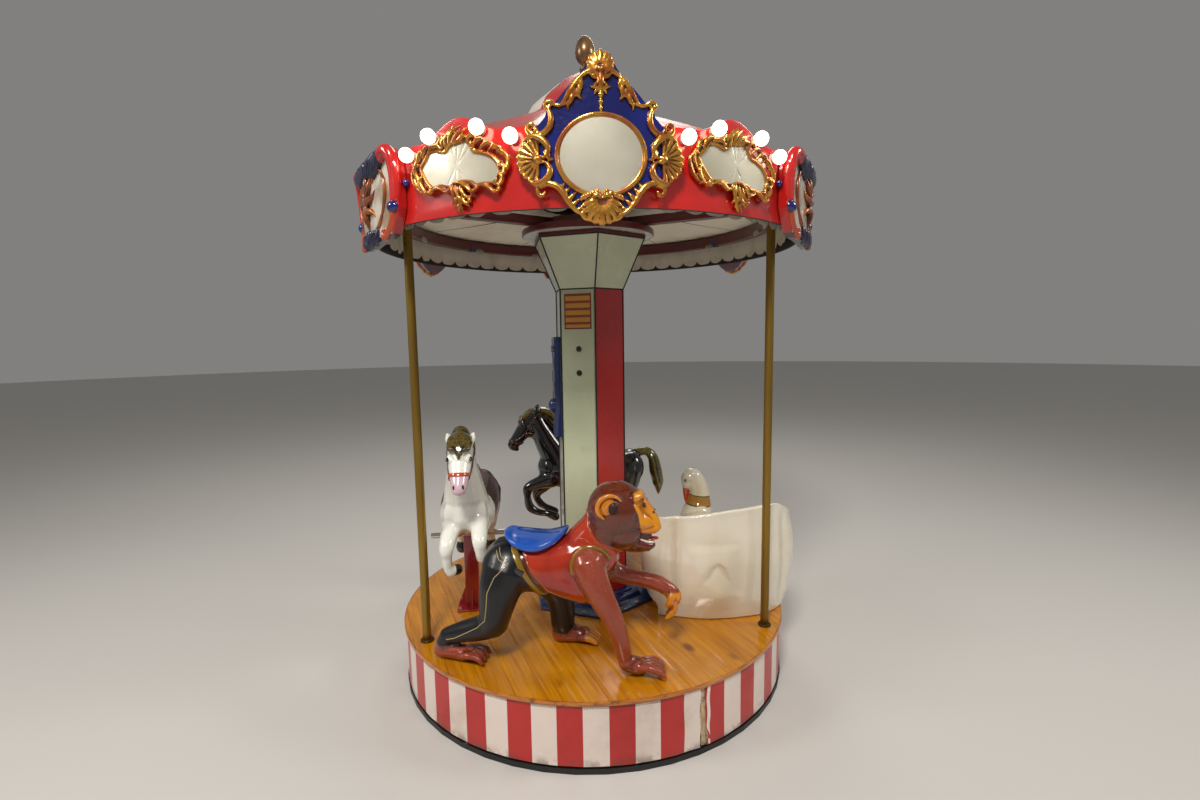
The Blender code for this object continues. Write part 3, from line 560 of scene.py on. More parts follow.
def cloth_strip(name, path, widths, thickness, radius):
    """A narrow strip of cloth on the drum, through (angle, height) points, with a width in degrees at each."""
    strip_piece = grid(name, 4, len(path) - 1)
    for point in strip_piece.data.vertices:
        station = round((point.co.y + 0.5) * (len(path) - 1))
        angle, height = path[station]
        lift = 0.0008 * math.sin(station * 2.1 + point.co.x * 5)
        point.co = round_axis(radius + lift, angle + point.co.x * widths[station], height)
    modified(strip_piece, "SOLIDIFY", thickness=thickness, offset=0)
    modified(strip_piece, "SUBSURF", levels=1, render_levels=1)
    return smooth(strip_piece, 60)


hessian = Finish("hessian", roughness=0.95)
threads = hessian.noise(420, detail=3)
grime = hessian.noise(38, detail=5, roughness=0.7).between(0.42, 0.7)
hessian.feed(base_color=hessian.mix(grime, colour(206, 180, 142), colour(98, 74, 50)))
hessian.bump(threads, 0.0007)
heights = [SKIRT_BOTTOM + (SKIRT_TOP - SKIRT_BOTTOM) * step / 12 for step in range(13)]
backing_path = [
    (23.95 + 0.35 * math.sin(step * 0.9) - step * 0.03, height) for step, height in enumerate(heights)
]
backing_widths = [1.7, 1.9, 2.0, 2.1, 2.2, 2.0, 2.1, 1.7, 1.5, 1.6, 1.7, 1.5, 1.6]
backing = cloth_strip("seam_backing", backing_path, backing_widths, 0.0008, 0.8385)
fitted(coat(backing, hessian.material), "beige_board")

white_vinyl, weave, stain = stained_vinyl("white_vinyl")
white_vinyl.feed(base_color=white_vinyl.mix(stain * 0.3, colour(236, 222, 214), colour(170, 140, 116)))
white_vinyl.bump(weave * 0.4 + white_vinyl.noise(40, detail=4), 0.0006)
hem_path = [(25.15 + 0.14 * math.sin(step * 1.1 + 0.8), height) for step, height in enumerate(heights)]
hem = cloth_strip("seam_hem", hem_path, [0.95] * len(hem_path), 0.0016, 0.8432)
fitted(coat(hem, white_vinyl.material), "striped_vinyl")

# The sewing: two rows of dark thread along the top hem of the skirt, one stitch every 9 mm.
# Each stitch is a short bar, pressed into the vinyl.
STITCH_STEP = 0.62
ROW_GAP = 0.0065
stitch = block("stitch", (0, -SKIRT_RADIUS - 0.0009, 0.239), (0.0058, 0.0006, 0.0008))
shape = bmesh.new()
for start, end in skirt_ends:
    for height in (0.0, -ROW_GAP):
        for number in range(int((end - start) / STITCH_STEP)):
            angle = start + 0.3 + number * STITCH_STEP
            if abs(past_seam(angle)) < 9:
                continue
            before = len(shape.verts)
            shape.from_mesh(stitch.data)
            shape.verts.ensure_lookup_table()
            spot = Matrix.Translation((0, 0, height)) @ Matrix.Rotation(math.radians(angle), 4, "Z")
            bmesh.ops.transform(shape, matrix=spot, verts=shape.verts[before:])
bpy.data.objects.remove(stitch)
stitches_mesh = bpy.data.meshes.new("skirt_stitches")
shape.to_mesh(stitches_mesh)
stitches = bpy.data.objects.new("skirt_stitches", stitches_mesh)
bpy.context.scene.collection.objects.link(stitches)
thread = paint("dark_thread", colour(92, 74, 68), 0.8, 0.0, 0.0, relief=0)
fitted(coat(stitches, thread), "striped_vinyl")

# The plinth: a pressed steel skirt plate round the column's foot, in dark blue gloss, bolted down through
# its flange. It has a low flange, a sloped step and a collar, all six-sided.
HEXAGON_TURN = 6.5


def hexagonal(name, levels):
    """A six-sided body with its corners on a circle, from (radius, height) levels, bottom to top."""
    free()
    low, high = levels[0], levels[1]
    depth = high[1] - low[1]
    bpy.ops.mesh.primitive_cone_add(
        vertices=6, radius1=low[0], radius2=high[0], depth=depth, location=(0, 0, low[1] + depth / 2)
    )
    body = settled(added(name))
    for before, level in zip(levels[1:], levels[2:]):
        chosen(body, "FACE", lambda centre, normal: normal.z > 0.9 and centre.z > before[1] - 0.0001)
        bpy.ops.mesh.extrude_region_move(TRANSFORM_OT_translate={"value": (0, 0, level[1] - before[1])})
        share = level[0] / before[0]
        bpy.ops.transform.resize(value=(share, share, 1), center_override=(0, 0, level[1]))
        bpy.ops.object.mode_set(mode="OBJECT")
    body.rotation_euler.z = math.radians(HEXAGON_TURN)
    return settled(body)


plinth_levels = [
    (0.300, 0.2603), (0.300, 0.270), (0.296, 0.272), (0.232, 0.273), (0.222, 0.290), (0.190, 0.292),
    (0.190, 0.300),
]
plinth = hexagonal("column_plinth_plate", plinth_levels)
modified(plinth, "BEVEL", width=0.0025, segments=2, angle_limit=math.radians(25))
BOLT_CIRCLE, BOLT_HEIGHT, BOLT_ASIDE = 0.250, 0.2755, math.degrees(0.186)
WASHER_DROP = Vector((0, 0, 0.0022))
bolts = []
for corner in range(6):
    for side in (-BOLT_ASIDE, BOLT_ASIDE):
        place = round_axis(BOLT_CIRCLE, HEXAGON_TURN + 30 + 60 * corner + side, BOLT_HEIGHT)
        bolts.append(modified(rod("bolt", 6, 0.0085, 0.006, place), "BEVEL", width=0.0010, segments=2))
        washer = rod("washer", 20, 0.0115, 0.0018, place - WASHER_DROP)
        bolts.append(modified(washer, "BEVEL", width=0.0005, segments=1))
plinth_bolts = joined("plinth_bolts", bolts)
steel_bolt = paint("zinc_bolt", colour(150, 148, 142), 0.35, 0.9, 0.0, colour(90, 60, 40), 0.5, 90, 0.0002)
coat(plinth_bolts, steel_bolt)
blue_paint = paint("blue_paint", colour(16, 44, 104), 0.24, 0.0, 0.8, colour(120, 126, 138), 0.35, 38)
fitted(coat(smooth(plinth, 25), blue_paint), "blue_paint", "column_plinth")
fitted(smooth(plinth_bolts, 30), "blue_paint")

# The column: a six-sided steel box with sprayed faces, and thin black rubber strips up its edges.
# From the front left round to the right they go cream, red, cream, white, red and white.
COLUMN_RADIUS = 0.160
COLUMN_FOOT, COLUMN_TOP = 0.3003, 1.655
column = hexagonal("column_case", [(COLUMN_RADIUS - 0.001, COLUMN_FOOT), (COLUMN_RADIUS - 0.001, COLUMN_TOP)])
cream_paint = paint(
    "cream_paint", colour(196, 202, 170), 0.22, 0.0, 0.7, colour(140, 132, 104), 0.35, 16, 0.0003
)
red_paint = paint("red_paint", colour(176, 26, 24), 0.2, 0.0, 0.8, colour(96, 18, 16), 0.3, 16, 0.0003)
white_paint = paint(
    "white_paint", colour(222, 220, 208), 0.22, 0.0, 0.7, colour(150, 142, 120), 0.3, 16, 0.0003
)
coat(column, cream_paint, red_paint, white_paint)
face_order = (0, 1, 0, 2, 1, 2)
for face in column.data.polygons:
    if abs(face.normal.z) > 0.5:
        continue
    angle = math.degrees(math.atan2(face.normal.x, -face.normal.y)) - HEXAGON_TURN
    face.material_index = face_order[(round((angle - 30) / 60) + 1) % 6]
modified(column, "BEVEL", width=0.003, segments=2, angle_limit=math.radians(40))
fitted(column, "cream_paint", "column")
trims = []
for corner in range(6):
    place = round_axis(COLUMN_RADIUS - 0.0005, HEXAGON_TURN + 60 * corner, (COLUMN_FOOT + COLUMN_TOP) / 2)
    trims.append(rod("edge_strip", 12, 0.0032, COLUMN_TOP - COLUMN_FOOT, place))
column_trims = joined("column_edge_strips", trims)
black_rubber = paint("black_rubber", colour(20, 20, 18), 0.5, 0.0, 0.1, colour(70, 68, 60), 0.3, 60, 0.0002)
fitted(coat(smooth(column_trims, 40), black_rubber), "cream_paint")

# The service door: a flush steel plate over the front left face, with two round cam locks in it.
# High on it sits a small plate with red and yellow stripes.
FACE_DISTANCE = COLUMN_RADIUS * math.cos(math.radians(30)) + 0.0003
DOOR_TURN = HEXAGON_TURN - 30


def brought_round(piece, turn):
    """Turns a piece that was made on the front side of the axis round it to its own place."""
    settled(piece)
    piece.rotation_euler.z = math.radians(turn)
    return settled(piece)


door_low, door_high = 0.330, COLUMN_TOP - 0.012
door_place = (0, -FACE_DISTANCE - 0.0015, (door_low + door_high) / 2)
door = block("service_door", door_place, (0.148, 0.003, door_high - door_low))
modified(door, "BEVEL", width=0.0012, segments=3)
fitted(brought_round(coat(smooth(door, 30), cream_paint), DOOR_TURN), "cream_paint", "column_door")
LOCK_ASIDE = 0.004
ALONG_Y = (math.pi / 2, 0, 0)
locks = []
for height in (1.297, 1.400):
    for radius, out in ((0.0125, 0.0045), (0.0095, 0.0072)):
        lock = rod("lock_ring", 32, radius, 0.003, (LOCK_ASIDE, -FACE_DISTANCE - out, height), ALONG_Y)
        locks.append(modified(lock, "BEVEL", width=0.0008, segments=2, angle_limit=math.radians(40)))
    slot_place = (LOCK_ASIDE, -FACE_DISTANCE - 0.0088, height)
    locks.append(block("key_slot", slot_place, (0.0016, 0.0012, 0.0085), (0, 0.5, 0)))
door_locks = joined("door_locks", locks)
lock_steel = Finish("lock_steel", metallic=0.8, roughness=0.3)
stained = lock_steel.noise(60).between(0.4, 0.7)
lock_steel.feed(base_color=lock_steel.mix(stained, colour(62, 76, 66), colour(24, 30, 26)))
lock_steel.bump(lock_steel.noise(90), 0.0002)
fitted(brought_round(coat(smooth(door_locks, 30), lock_steel.material), DOOR_TURN), "cream_paint")
PLATE_ASIDE, PLATE_HEIGHT, PLATE_WIDE, PLATE_HIGH = 0.002, 1.560, 0.124, 0.150
BORDER, BAND = 0.006, 0.030
plate_place = (PLATE_ASIDE, -FACE_DISTANCE - 0.0036, PLATE_HEIGHT)
notice = block("striped_plate", plate_place, (PLATE_WIDE, 0.0012, PLATE_HIGH))
modified(notice, "BEVEL", width=0.0005, segments=2)
plate_print = Finish("plate_stripes", roughness=0.35, coat_weight=0.5)
aside, _, height = plate_print.parts(plate_print.moved(turn=DOOR_TURN))
side_edge = abs(aside - PLATE_ASIDE) - (PLATE_WIDE / 2 - BORDER)
edge = side_edge.most(abs(height - PLATE_HEIGHT) - (PLATE_HIGH / 2 - BORDER)).between(-0.0004, 0.0004)
bands = ((height - (PLATE_HEIGHT - PLATE_HIGH / 2)) / BAND % 1).between(0.62, 0.66)
ink = plate_print.mix(bands, colour(206, 150, 40), colour(150, 44, 26))
ink = plate_print.mix(plate_print.noise(18) * 0.3, ink, colour(110, 60, 30))
plate_print.feed(base_color=plate_print.mix(edge, ink, colour(120, 40, 26)))
plate_print.bump(plate_print.noise(50), 0.0002)
coat(notice, plate_print.material)
fitted(brought_round(notice, DOOR_TURN), "cream_paint")

# The coin box: a folded blue steel case on the left side face, with a rounded cover over its lock.
# A start button, a plate with the coin slot and a return cup stand over one another on its front.
BOX_TURN = HEXAGON_TURN - 90
box_low, box_high, box_half = 1.010, 1.453, 0.055


def dished(piece, border, depth, edge, segments):
    """Sinks the front of a piece inside a border, and rounds its edges."""
    chosen(piece, "FACE", lambda centre, normal: normal.y < -0.9)
    bpy.ops.mesh.inset(thickness=border)
    bpy.ops.mesh.extrude_region_move(TRANSFORM_OT_translate={"value": (0, depth, 0)})
    bpy.ops.object.mode_set(mode="OBJECT")
    return modified(piece, "BEVEL", width=edge, segments=segments, angle_limit=math.radians(30))


box_place = (0, -FACE_DISTANCE - 0.014, (box_low + box_high) / 2)
coin_box = block("coin_box", box_place, (2 * box_half, 0.028, box_high - box_low))
coin_box = dished(coin_box, 0.008, 0.0015, 0.004, 3)
cover = ball("lock_cover", 36, 20, (0, -FACE_DISTANCE - 0.028, 1.146), (0.030, 0.0258, 0.034))
coin_box = joined("coin_box", [coin_box, cover])
fitted(brought_round(coat(smooth(coin_box, 30), blue_paint), BOX_TURN), "blue_paint", "control_box")
fittings = []
for height, size in ((1.330, (0.040, 0.004, 0.060)), (1.230, (0.044, 0.004, 0.040))):
    plate = block("box_plate", (0, -FACE_DISTANCE - 0.0285, height), size)
    fittings.append(dished(plate, 0.015, 0.003, 0.0008, 2))
button = rod("start_button", 32, 0.014, 0.012, (0, -FACE_DISTANCE - 0.031, 1.400), ALONG_Y)
fittings.append(modified(button, "BEVEL", width=0.002, segments=3, angle_limit=math.radians(40)))
box_fittings = joined("coin_fittings", fittings)
bare_steel = paint("bare_steel", colour(170, 168, 162), 0.3, 0.9, 0.0, colour(90, 84, 76), 0.4, 60, 0.0002)
fitted(brought_round(coat(smooth(box_fittings, 30), bare_steel), BOX_TURN), "blue_paint")

# The capital: a flared hexagon of cream panels with black strips along its edges, under a dark red band.
# On it lies a round board with a dark red rim and a white underside.
FLARE_TOP, CAPITAL_TOP = 1.868, 1.882
capital_levels = [
    (COLUMN_RADIUS, COLUMN_TOP + 0.0003), (0.2585, FLARE_TOP), (0.2635, FLARE_TOP + 0.001),
    (0.2635, CAPITAL_TOP),
]
capital = hexagonal("capital_case", capital_levels)
modified(capital, "BEVEL", width=0.002, segments=2, angle_limit=math.radians(25))
dark_red = paint("dark_red_steel", colour(88, 16, 24), 0.35, 0.0, 0.4, colour(40, 10, 12), 0.4, 26, 0.0003)
coat(capital, cream_paint, dark_red)
for face in capital.data.polygons:
    if face.center.z > FLARE_TOP + 0.0003:
        face.material_index = 1
disc_profile = [
    (0.0, 1.912), (0.286, 1.912), (0.290, 1.908), (0.290, 1.888), (0.286, 1.8845), (0.280, 1.8842),
    (0.0, 1.8842),
]
disc = turned("capital_disc", disc_profile, 96)
coat(disc, dark_red, white_paint)
for face in disc.data.polygons:
    if face.normal.z < -0.9:
        face.material_index = 1
disc = smooth(disc, 35)
fitted(capital, "cream_paint", "capital")
fitted(disc, "dark_red_steel")


def edge_strip(start, end, radius):
    """A round strip from one place to another."""
    run = end - start
    tilt = tuple(run.to_track_quat("Z", "Y").to_euler())
    return rod("edge_strip", 10, radius, run.length, (start + end) / 2, tilt)


strips = []
for corner in range(6):
    angle = HEXAGON_TURN + 60 * corner
    low, high = round_axis(COLUMN_RADIUS, angle, COLUMN_TOP), round_axis(0.259, angle, FLARE_TOP)
    strips.append(edge_strip(low, high, 0.0032))
    for radius, height in ((COLUMN_RADIUS, COLUMN_TOP + 0.0005), (0.259, FLARE_TOP - 0.002)):
        here, there = round_axis(radius, angle, height), round_axis(radius, angle + 60, height)
        strips.append(edge_strip(here, there, 0.0030))
capital_strips = joined("capital_edge_strips", strips)
fitted(coat(smooth(capital_strips, 40), black_rubber), "cream_paint")

# The poles: three steel tubes in dull brass paint, chipped here and there, each in a turned collar on the
# floor. They stand under the ring of the roof and carry it.
POLE_ANGLES = (-60, 60, 180)
RING_RADIUS = 0.790
pole_profile = [
    (0.0, 1.9067), (0.0165, 1.9067), (0.0165, 0.2705), (0.0190, 0.2700), (0.0250, 0.2675), (0.0260, 0.2660),
    (0.0260, 0.2603), (0.0, 0.2603),
]
brass = Finish("brass_paint", metallic=0.75)
chips = brass.noise(62, detail=6, roughness=0.75).between(0.66, 0.70)
dull = brass.noise(5, brass.moved(size=(1, 1, 5)), detail=4)
# Each pole is darker towards its foot, from 40 mm above the floor down into its collar.
towards_foot = 1 - brass.parts(brass.where)[2].between(0.272, 0.30)
pole_body = brass.mix(dull.between(0.3, 0.75), colour(156, 124, 52), colour(108, 82, 32))
pole_body = brass.mix(chips, pole_body, colour(48, 34, 22))
brass.feed(base_color=brass.mix(towards_foot * 0.75, pole_body, colour(40, 26, 14)))
brass.feed(roughness=dull * 0.25 + 0.28 + chips * 0.3)
brass.bump(1 - chips, 0.0004)
for number, angle in enumerate(POLE_ANGLES, 1):
    pole = turned(f"pole_tube_{number}", pole_profile, 32)
    pole.location = round_axis(RING_RADIUS, angle)
    fitted(coat(smooth(pole, 30), brass.material), "brass", f"pole_{number}")

# The roof frame: a dark red ring of square steel tube in ten lengths, with a hub over the column's board.
# Three beams join them over the poles, and short arms reach out to the boards. All of it is welded and
# painted.
RING_BOTTOM, RING_TOP, RING_HALF = 1.907, 1.955, 0.020
soft_edge = 0.002
inner, outer = RING_RADIUS - RING_HALF, RING_RADIUS + RING_HALF
ring_profile = [
    (inner + soft_edge, RING_TOP), (outer - soft_edge, RING_TOP),
    (outer, RING_TOP - soft_edge), (outer, RING_BOTTOM + soft_edge),
    (outer - soft_edge, RING_BOTTOM), (inner + soft_edge, RING_BOTTOM),
    (inner, RING_BOTTOM + soft_edge), (inner, RING_TOP - soft_edge),
    (inner + soft_edge, RING_TOP),
]
ring = turned("ring_tube", ring_profile, 120)
hub_profile = [(0.0, 1.9525), (0.197, 1.9525), (0.200, 1.950), (0.200, 1.9125), (0.0, 1.9125)]
hub = turned("hub", hub_profile, 72)


def box_between(name, low, high):
    """A box between two corners."""
    middle = [(start + end) / 2 for start, end in zip(low, high)]
    return block(name, middle, [end - start for start, end in zip(low, high)])


def bar(name, low, high, turn, bevel=0.002):
    """A square bar between two corners on the front side, turned round the axis to its place."""
    made = box_between(name, low, high)
    if bevel:
        modified(made, "BEVEL", width=bevel, segments=2)
    made.rotation_euler.z = math.radians(turn)
    return settled(made)


MEDALLION_TURNS, SHIELD_TURNS = (0, 120, 240), (60, 180, 300)
BOARD_TURNS = [medallion + side for medallion in MEDALLION_TURNS for side in (-28.6, 28.6)]
RING_PLACE = -RING_RADIUS
beams = [ring, hub]
for angle in POLE_ANGLES:
    beams.append(bar("beam", (-0.020, RING_PLACE + 0.019, 1.915), (0.020, -0.170, 1.953), angle))
    for side in (-0.028, 0.020):
        low, high = (side, RING_PLACE - 0.012, 1.904), (side + 0.008, RING_PLACE + 0.05, 1.909)
        beams.append(bar("beam_tab", low, high, angle, 0.0008))
for turn in BOARD_TURNS:
    beams.append(bar("arm", (-0.012, -0.8794, 1.935), (0.012, RING_PLACE, 1.954), turn, 0.0015))
frame_steel = joined("roof_frame", beams)
fitted(coat(smooth(frame_steel, 30), dark_red), "dark_red_steel", "canopy_frame")
JOINTS, FIRST_JOINT = 10, 66.4
joints = []
for number in range(JOINTS):
    low, high = (-0.0012, RING_PLACE - 0.0203, 1.9066), (0.0012, RING_PLACE + 0.0203, 1.9553)
    joints.append(bar("ring_joint", low, high, FIRST_JOINT + 360 / JOINTS * number, 0))
ring_joints = joined("ring_joints", joints)
fitted(coat(ring_joints, black_rubber), "dark_red_steel")

# The lamp caps under the ring: clear oval plastic covers over small lamps that are off, held by a few blue
# clips. They sit on the inner side of the ring, all round it.
CAP_ANGLES = (-101.0, -134.0, 122.0, 90.0, 76.0, -44.0, -14.0, 10.0, 42.0, 162.0, -160.0, -74.0)
CAP_TILT = 38
caps = []
for angle in CAP_ANGLES:
    cap = ball("lamp_cap", 24, 12, (0, 0, 0), (0.026, 0.009, 0.0165))
    modified(cap, "SOLIDIFY", thickness=0.0012)
    free()
    bpy.ops.mesh.primitive_torus_add(major_segments=28, minor_segments=6, major_radius=1, minor_radius=0.065)
    rim = added("cap_rim")
    rim.scale = (0.0262, 0.0168, 0.016)
    settled(rim)
    for piece, tilt in ((cap, CAP_TILT), (rim, 90 + CAP_TILT)):
        piece.rotation_euler = (math.radians(tilt), 0, 0)
        piece.location = (0, RING_PLACE + 0.031, 1.906)
        caps.append(brought_round(piece, angle))
lamp_caps = joined("lamp_caps", caps)
clear_plastic = Finish("clear_plastic", transmission_weight=0.9)
clear_plastic.feed(
    base_color=clear_plastic.mix(clear_plastic.noise(60), colour(250, 250, 245), colour(225, 222, 210))
)
clear_plastic.feed(roughness=clear_plastic.noise(90) * 0.12 + 0.02)
fitted(coat(smooth(lamp_caps, 60), clear_plastic.material), "milky_mirror")
clips = []
for angle in (-131.6, 120.4, -11.6, 8.4):
    for near, top, edge in ((-0.002, 1.9068, 0.0015), (0.0203, 1.930, 0.001)):
        low, high = (-0.017, RING_PLACE + near, 1.9015), (0.017, RING_PLACE + 0.0235, top)
        clips.append(bar("blue_clip", low, high, angle, edge))
blue_clips = joined("blue_clips", clips)
fitted(coat(blue_clips, blue_paint), "blue_paint")

# The ceiling cloth: thin white lining, gathered towards the hub and laced to the ring, so it falls in
# radial folds. Narrow black tape is sewn over its six seams.
CEILING_INNER, CEILING_OUTER = 0.206, 0.808
CEILING_HIGH, CEILING_LOW, CEILING_SAG = 2.020, 1.9595, 0.010
TAPE_START, TAPE_END, TAPE_WIDTH = 0.33, 0.765, 0.0032


def ceiling_height(radius, angle):
    """The height of the gathered lining at a distance to the axis and an angle."""
    share = (radius - CEILING_INNER) / (CEILING_OUTER - CEILING_INNER)
    base = CEILING_HIGH + share * (CEILING_LOW - CEILING_HIGH) - CEILING_SAG * math.sin(math.pi * share)
    folds = 0.0
    for waves, size, lean in ((44, 0.0042, 0.8), (71, 0.0026, -1.4), (117, 0.0012, 2.2)):
        folds += size * math.sin(math.radians(angle) * waves + lean * share + size * 900)
    return base + folds * (1.0 - 0.8 * share) * (0.35 + 0.65 * min(1, 6 * share)) + 0.001


ceiling = grid("ceiling_lining", 540, 12)
for point in ceiling.data.vertices:
    angle = (point.co.x + 0.5) * 360
    radius = CEILING_INNER + (point.co.y + 0.5) * (CEILING_OUTER - CEILING_INNER)
    place = round_axis(radius, angle)
    point.co = (place.x, place.y, ceiling_height(radius, angle))
modified(closed(ceiling), "SOLIDIFY", thickness=0.0007, offset=0)
white_cloth = Finish("white_cloth", roughness=0.92)
cloth_weave = white_cloth.noise(600, detail=2)
yellowed = white_cloth.noise(3.0, detail=5).between(0.4, 0.8)
white_cloth.feed(base_color=white_cloth.mix(yellowed * 0.6, colour(228, 221, 204), colour(196, 180, 150)))
white_cloth.bump(cloth_weave * 0.4 + white_cloth.noise(40, detail=3), 0.0006)
fitted(coat(smooth(ceiling, 80), white_cloth.material), "white_cloth", "ceiling_cloth")
tapes = []
for angle in (-112.0, -155.0, 147.0, 108.0, 26.0, -30.0):
    tape = grid("seam_tape", 1, 24)
    for point in tape.data.vertices:
        radius = TAPE_START + (point.co.y + 0.5) * (TAPE_END - TAPE_START)
        here = angle + math.degrees(point.co.x * TAPE_WIDTH / radius) + 3.5 * (radius - 0.5)
        place = round_axis(radius, here)
        point.co = (place.x, place.y, ceiling_height(radius, here) - 0.0012)
    modified(tape, "SOLIDIFY", thickness=0.0004, offset=0)
    tapes.append(tape)
seam_tapes = joined("ceiling_tapes", tapes)
fitted(coat(seam_tapes, black_rubber), "white_cloth")

# The valance: a white scalloped frill hung all round outside the ring, hemmed along its sixty scallops.
# It is plain cloth on a wire, so it waves a little.
VALANCE_RADIUS, VALANCE_TOP, VALANCE_BOTTOM = 0.832, 1.9347, 1.829
SCALLOPS, SCALLOP_DEPTH = 60, 0.021
valance = grid("valance_frill", SCALLOPS * 10, 7)
for point in valance.data.vertices:
    turns = point.co.x + 0.5
    share = point.co.y + 0.5
    across_scallop = 2 * ((turns * SCALLOPS) % 1) - 1
    cusp = 1 - math.sqrt(max(0.0, 1 - across_scallop**2))
    bottom = VALANCE_BOTTOM + SCALLOP_DEPTH * cusp
    height = bottom + share * (VALANCE_TOP - bottom)
    flutter = math.sin(math.tau * turns * 41) + 0.6 * math.sin(math.tau * turns * 97 + 2 * share)
    wave = 0.0040 * (1 - share) ** 0.7 * flutter
    place = round_axis(VALANCE_RADIUS + wave, turns * 360)
    point.co = (place.x, place.y, height)
modified(closed(valance), "SOLIDIFY", thickness=0.0008, offset=0)
valance_cloth = Finish("valance_cloth", roughness=0.85)
# The cloth is darker towards its scallops, and in faint clouds.
towards_scallops = 1 - valance_cloth.parts(valance_cloth.where)[2].between(1.84, 1.88)
fog = valance_cloth.noise(9, detail=5).between(0.4, 0.75)
darker_share = towards_scallops * 0.3 + fog * 0.3
valance_cloth.feed(base_color=valance_cloth.mix(darker_share, colour(226, 220, 206), colour(164, 148, 122)))
valance_cloth.bump(valance_cloth.noise(560, detail=2) * 0.5 + fog, 0.0005)
fitted(coat(smooth(valance, 80), valance_cloth.material), "white_cloth", "valance")

# The roof cover: a vinyl tent of twelve red and white gores, welded edge to edge and stretched over hoops
# and ribs. It is steep round its peak, kinks at a hoop, and runs down behind the boards.
GORES = 12
roof_line = [
    (0.016, 2.5745), (0.026, 2.5745), (0.060, 2.556), (0.100, 2.533), (0.135, 2.507), (0.166, 2.480),
    (0.204, 2.448), (0.235, 2.418), (0.252, 2.390), (0.268, 2.360), (0.297, 2.341), (0.330, 2.325),
    (0.42, 2.286), (0.51, 2.246), (0.600, 2.205), (0.69, 2.158), (0.78, 2.110), (0.86, 2.066),
    (0.875, 2.056), (0.878, 2.045), (0.878, 2.018), (0.878, 1.992),
]
roof = grid("roof_tent", 192, len(roof_line) - 1)
for point in roof.data.vertices:
    turns = point.co.x + 0.5
    radius, height = roof_line[len(roof_line) - 1 - round((point.co.y + 0.5) * (len(roof_line) - 1))]
    between_ribs = math.sin(math.pi * ((turns * GORES + 0.5) % 1))
    for depth, start, run in ((0.012, 0.27, 0.6), (0.006, 0.02, 0.25)):
        height -= depth * between_ribs * max(0.0, math.sin(math.pi * min(1, max(0, (radius - start) / run))))
    place = round_axis(radius, turns * 360)
    point.co = (place.x, place.y, height)
modified(closed(roof), "SOLIDIFY", thickness=0.0012, offset=-1)
tent = Finish("tent_vinyl", coat_weight=0.3, coat_roughness=0.3)
x, y, _ = tent.parts(tent.where)
bearing = tent.node("Math", {"operation": "ARCTAN2"}, {0: x, 1: y * -1.0})
gore = (bearing / (math.tau / GORES) + 0.5 + GORES) % 2
red_share = (gore - 1).between(-0.004, 0.004)
seam = abs((gore % 1) - 0.5) - 0.485
sooty = tent.noise(3.4, detail=6, roughness=0.65).between(0.42, 0.75)
gores = tent.mix(red_share, colour(206, 192, 184), colour(164, 36, 34))
gores = tent.mix(seam.between(0.0, 0.004) * 0.35, gores, colour(120, 60, 56))
tent.feed(base_color=tent.mix(sooty * 0.35, gores, colour(120, 92, 80)), roughness=sooty * 0.2 + 0.38)
tent.bump(tent.noise(520, detail=2) * 0.3 + tent.noise(16, detail=4), 0.0006)
fitted(coat(smooth(roof, 35), tent.material), "striped_vinyl", "roof_cover")
roof_area = 0.0
for (inner, high), (outer, low) in zip(roof_line, roof_line[1:]):
    roof_area += math.pi * (inner + outer) * math.hypot(outer - inner, high - low)

# The finial: a turned egg on a collar, in brown bronze paint, screwed on the peak over the tent.
# It is smooth and round, with a soft shine.
finial_profile = [
    (0.0, 2.728), (0.006, 2.7272), (0.012, 2.7248), (0.0185, 2.7203), (0.0252, 2.7135), (0.0315, 2.704),
    (0.0365, 2.693), (0.0402, 2.680), (0.0425, 2.668), (0.0428, 2.657), (0.0412, 2.645), (0.0375, 2.6335),
    (0.0318, 2.6245), (0.0250, 2.618), (0.0185, 2.6135), (0.0145, 2.6105), (0.0130, 2.608), (0.0150, 2.605),
    (0.0205, 2.6015), (0.0245, 2.5965), (0.0255, 2.5915), (0.0245, 2.5865), (0.0210, 2.5825),
    (0.0170, 2.580), (0.0150, 2.5765), (0.0, 2.5765),
]
finial = turned("finial_egg", finial_profile, 40)
bronze = Finish("bronze_paint", metallic=0.55, coat_weight=0.6, coat_roughness=0.15)
tarnish = bronze.noise(16, detail=4)
bronze.feed(base_color=bronze.mix(tarnish.between(0.35, 0.7), colour(134, 98, 56), colour(84, 58, 36)))
bronze.feed(roughness=tarnish * 0.2 + 0.22)
bronze.bump(bronze.noise(60), 0.0003)
fitted(coat(smooth(finial, 50), bronze.material), "bronze", "finial")

# The boards: six plywood boards bent round the frame, each with one hump in its wavy top and a rounded lip.
# Outside they are painted glossy red and inside dark, and they are screwed to the arms from behind.
FASCIA_RADIUS, FASCIA_BOTTOM, FASCIA_TOP = 0.890, 1.826, 2.062
BOARD_ANGLE, HUMP, HUMP_HALF, LIP = 57, 0.050, 9.5, 0.0035


def board_top(angle):
    """The wavy top edge of a board, at an angle from its middle."""
    hump = HUMP * math.cos(math.pi / 2 * angle / HUMP_HALF) ** 2
    return FASCIA_TOP + (hump if abs(angle) < HUMP_HALF else 0)


def turned_copies(piece, name, turns):
    """Copies of a piece made at the front, one for each turn round the axis. The piece itself is removed."""
    pieces = []
    for number, turn in enumerate(turns, 1):
        one = copied(piece, f"{name}_{number}")
        one.rotation_euler.z = math.radians(turn)
        pieces.append(settled(one))
    bpy.data.objects.remove(piece)
    return pieces


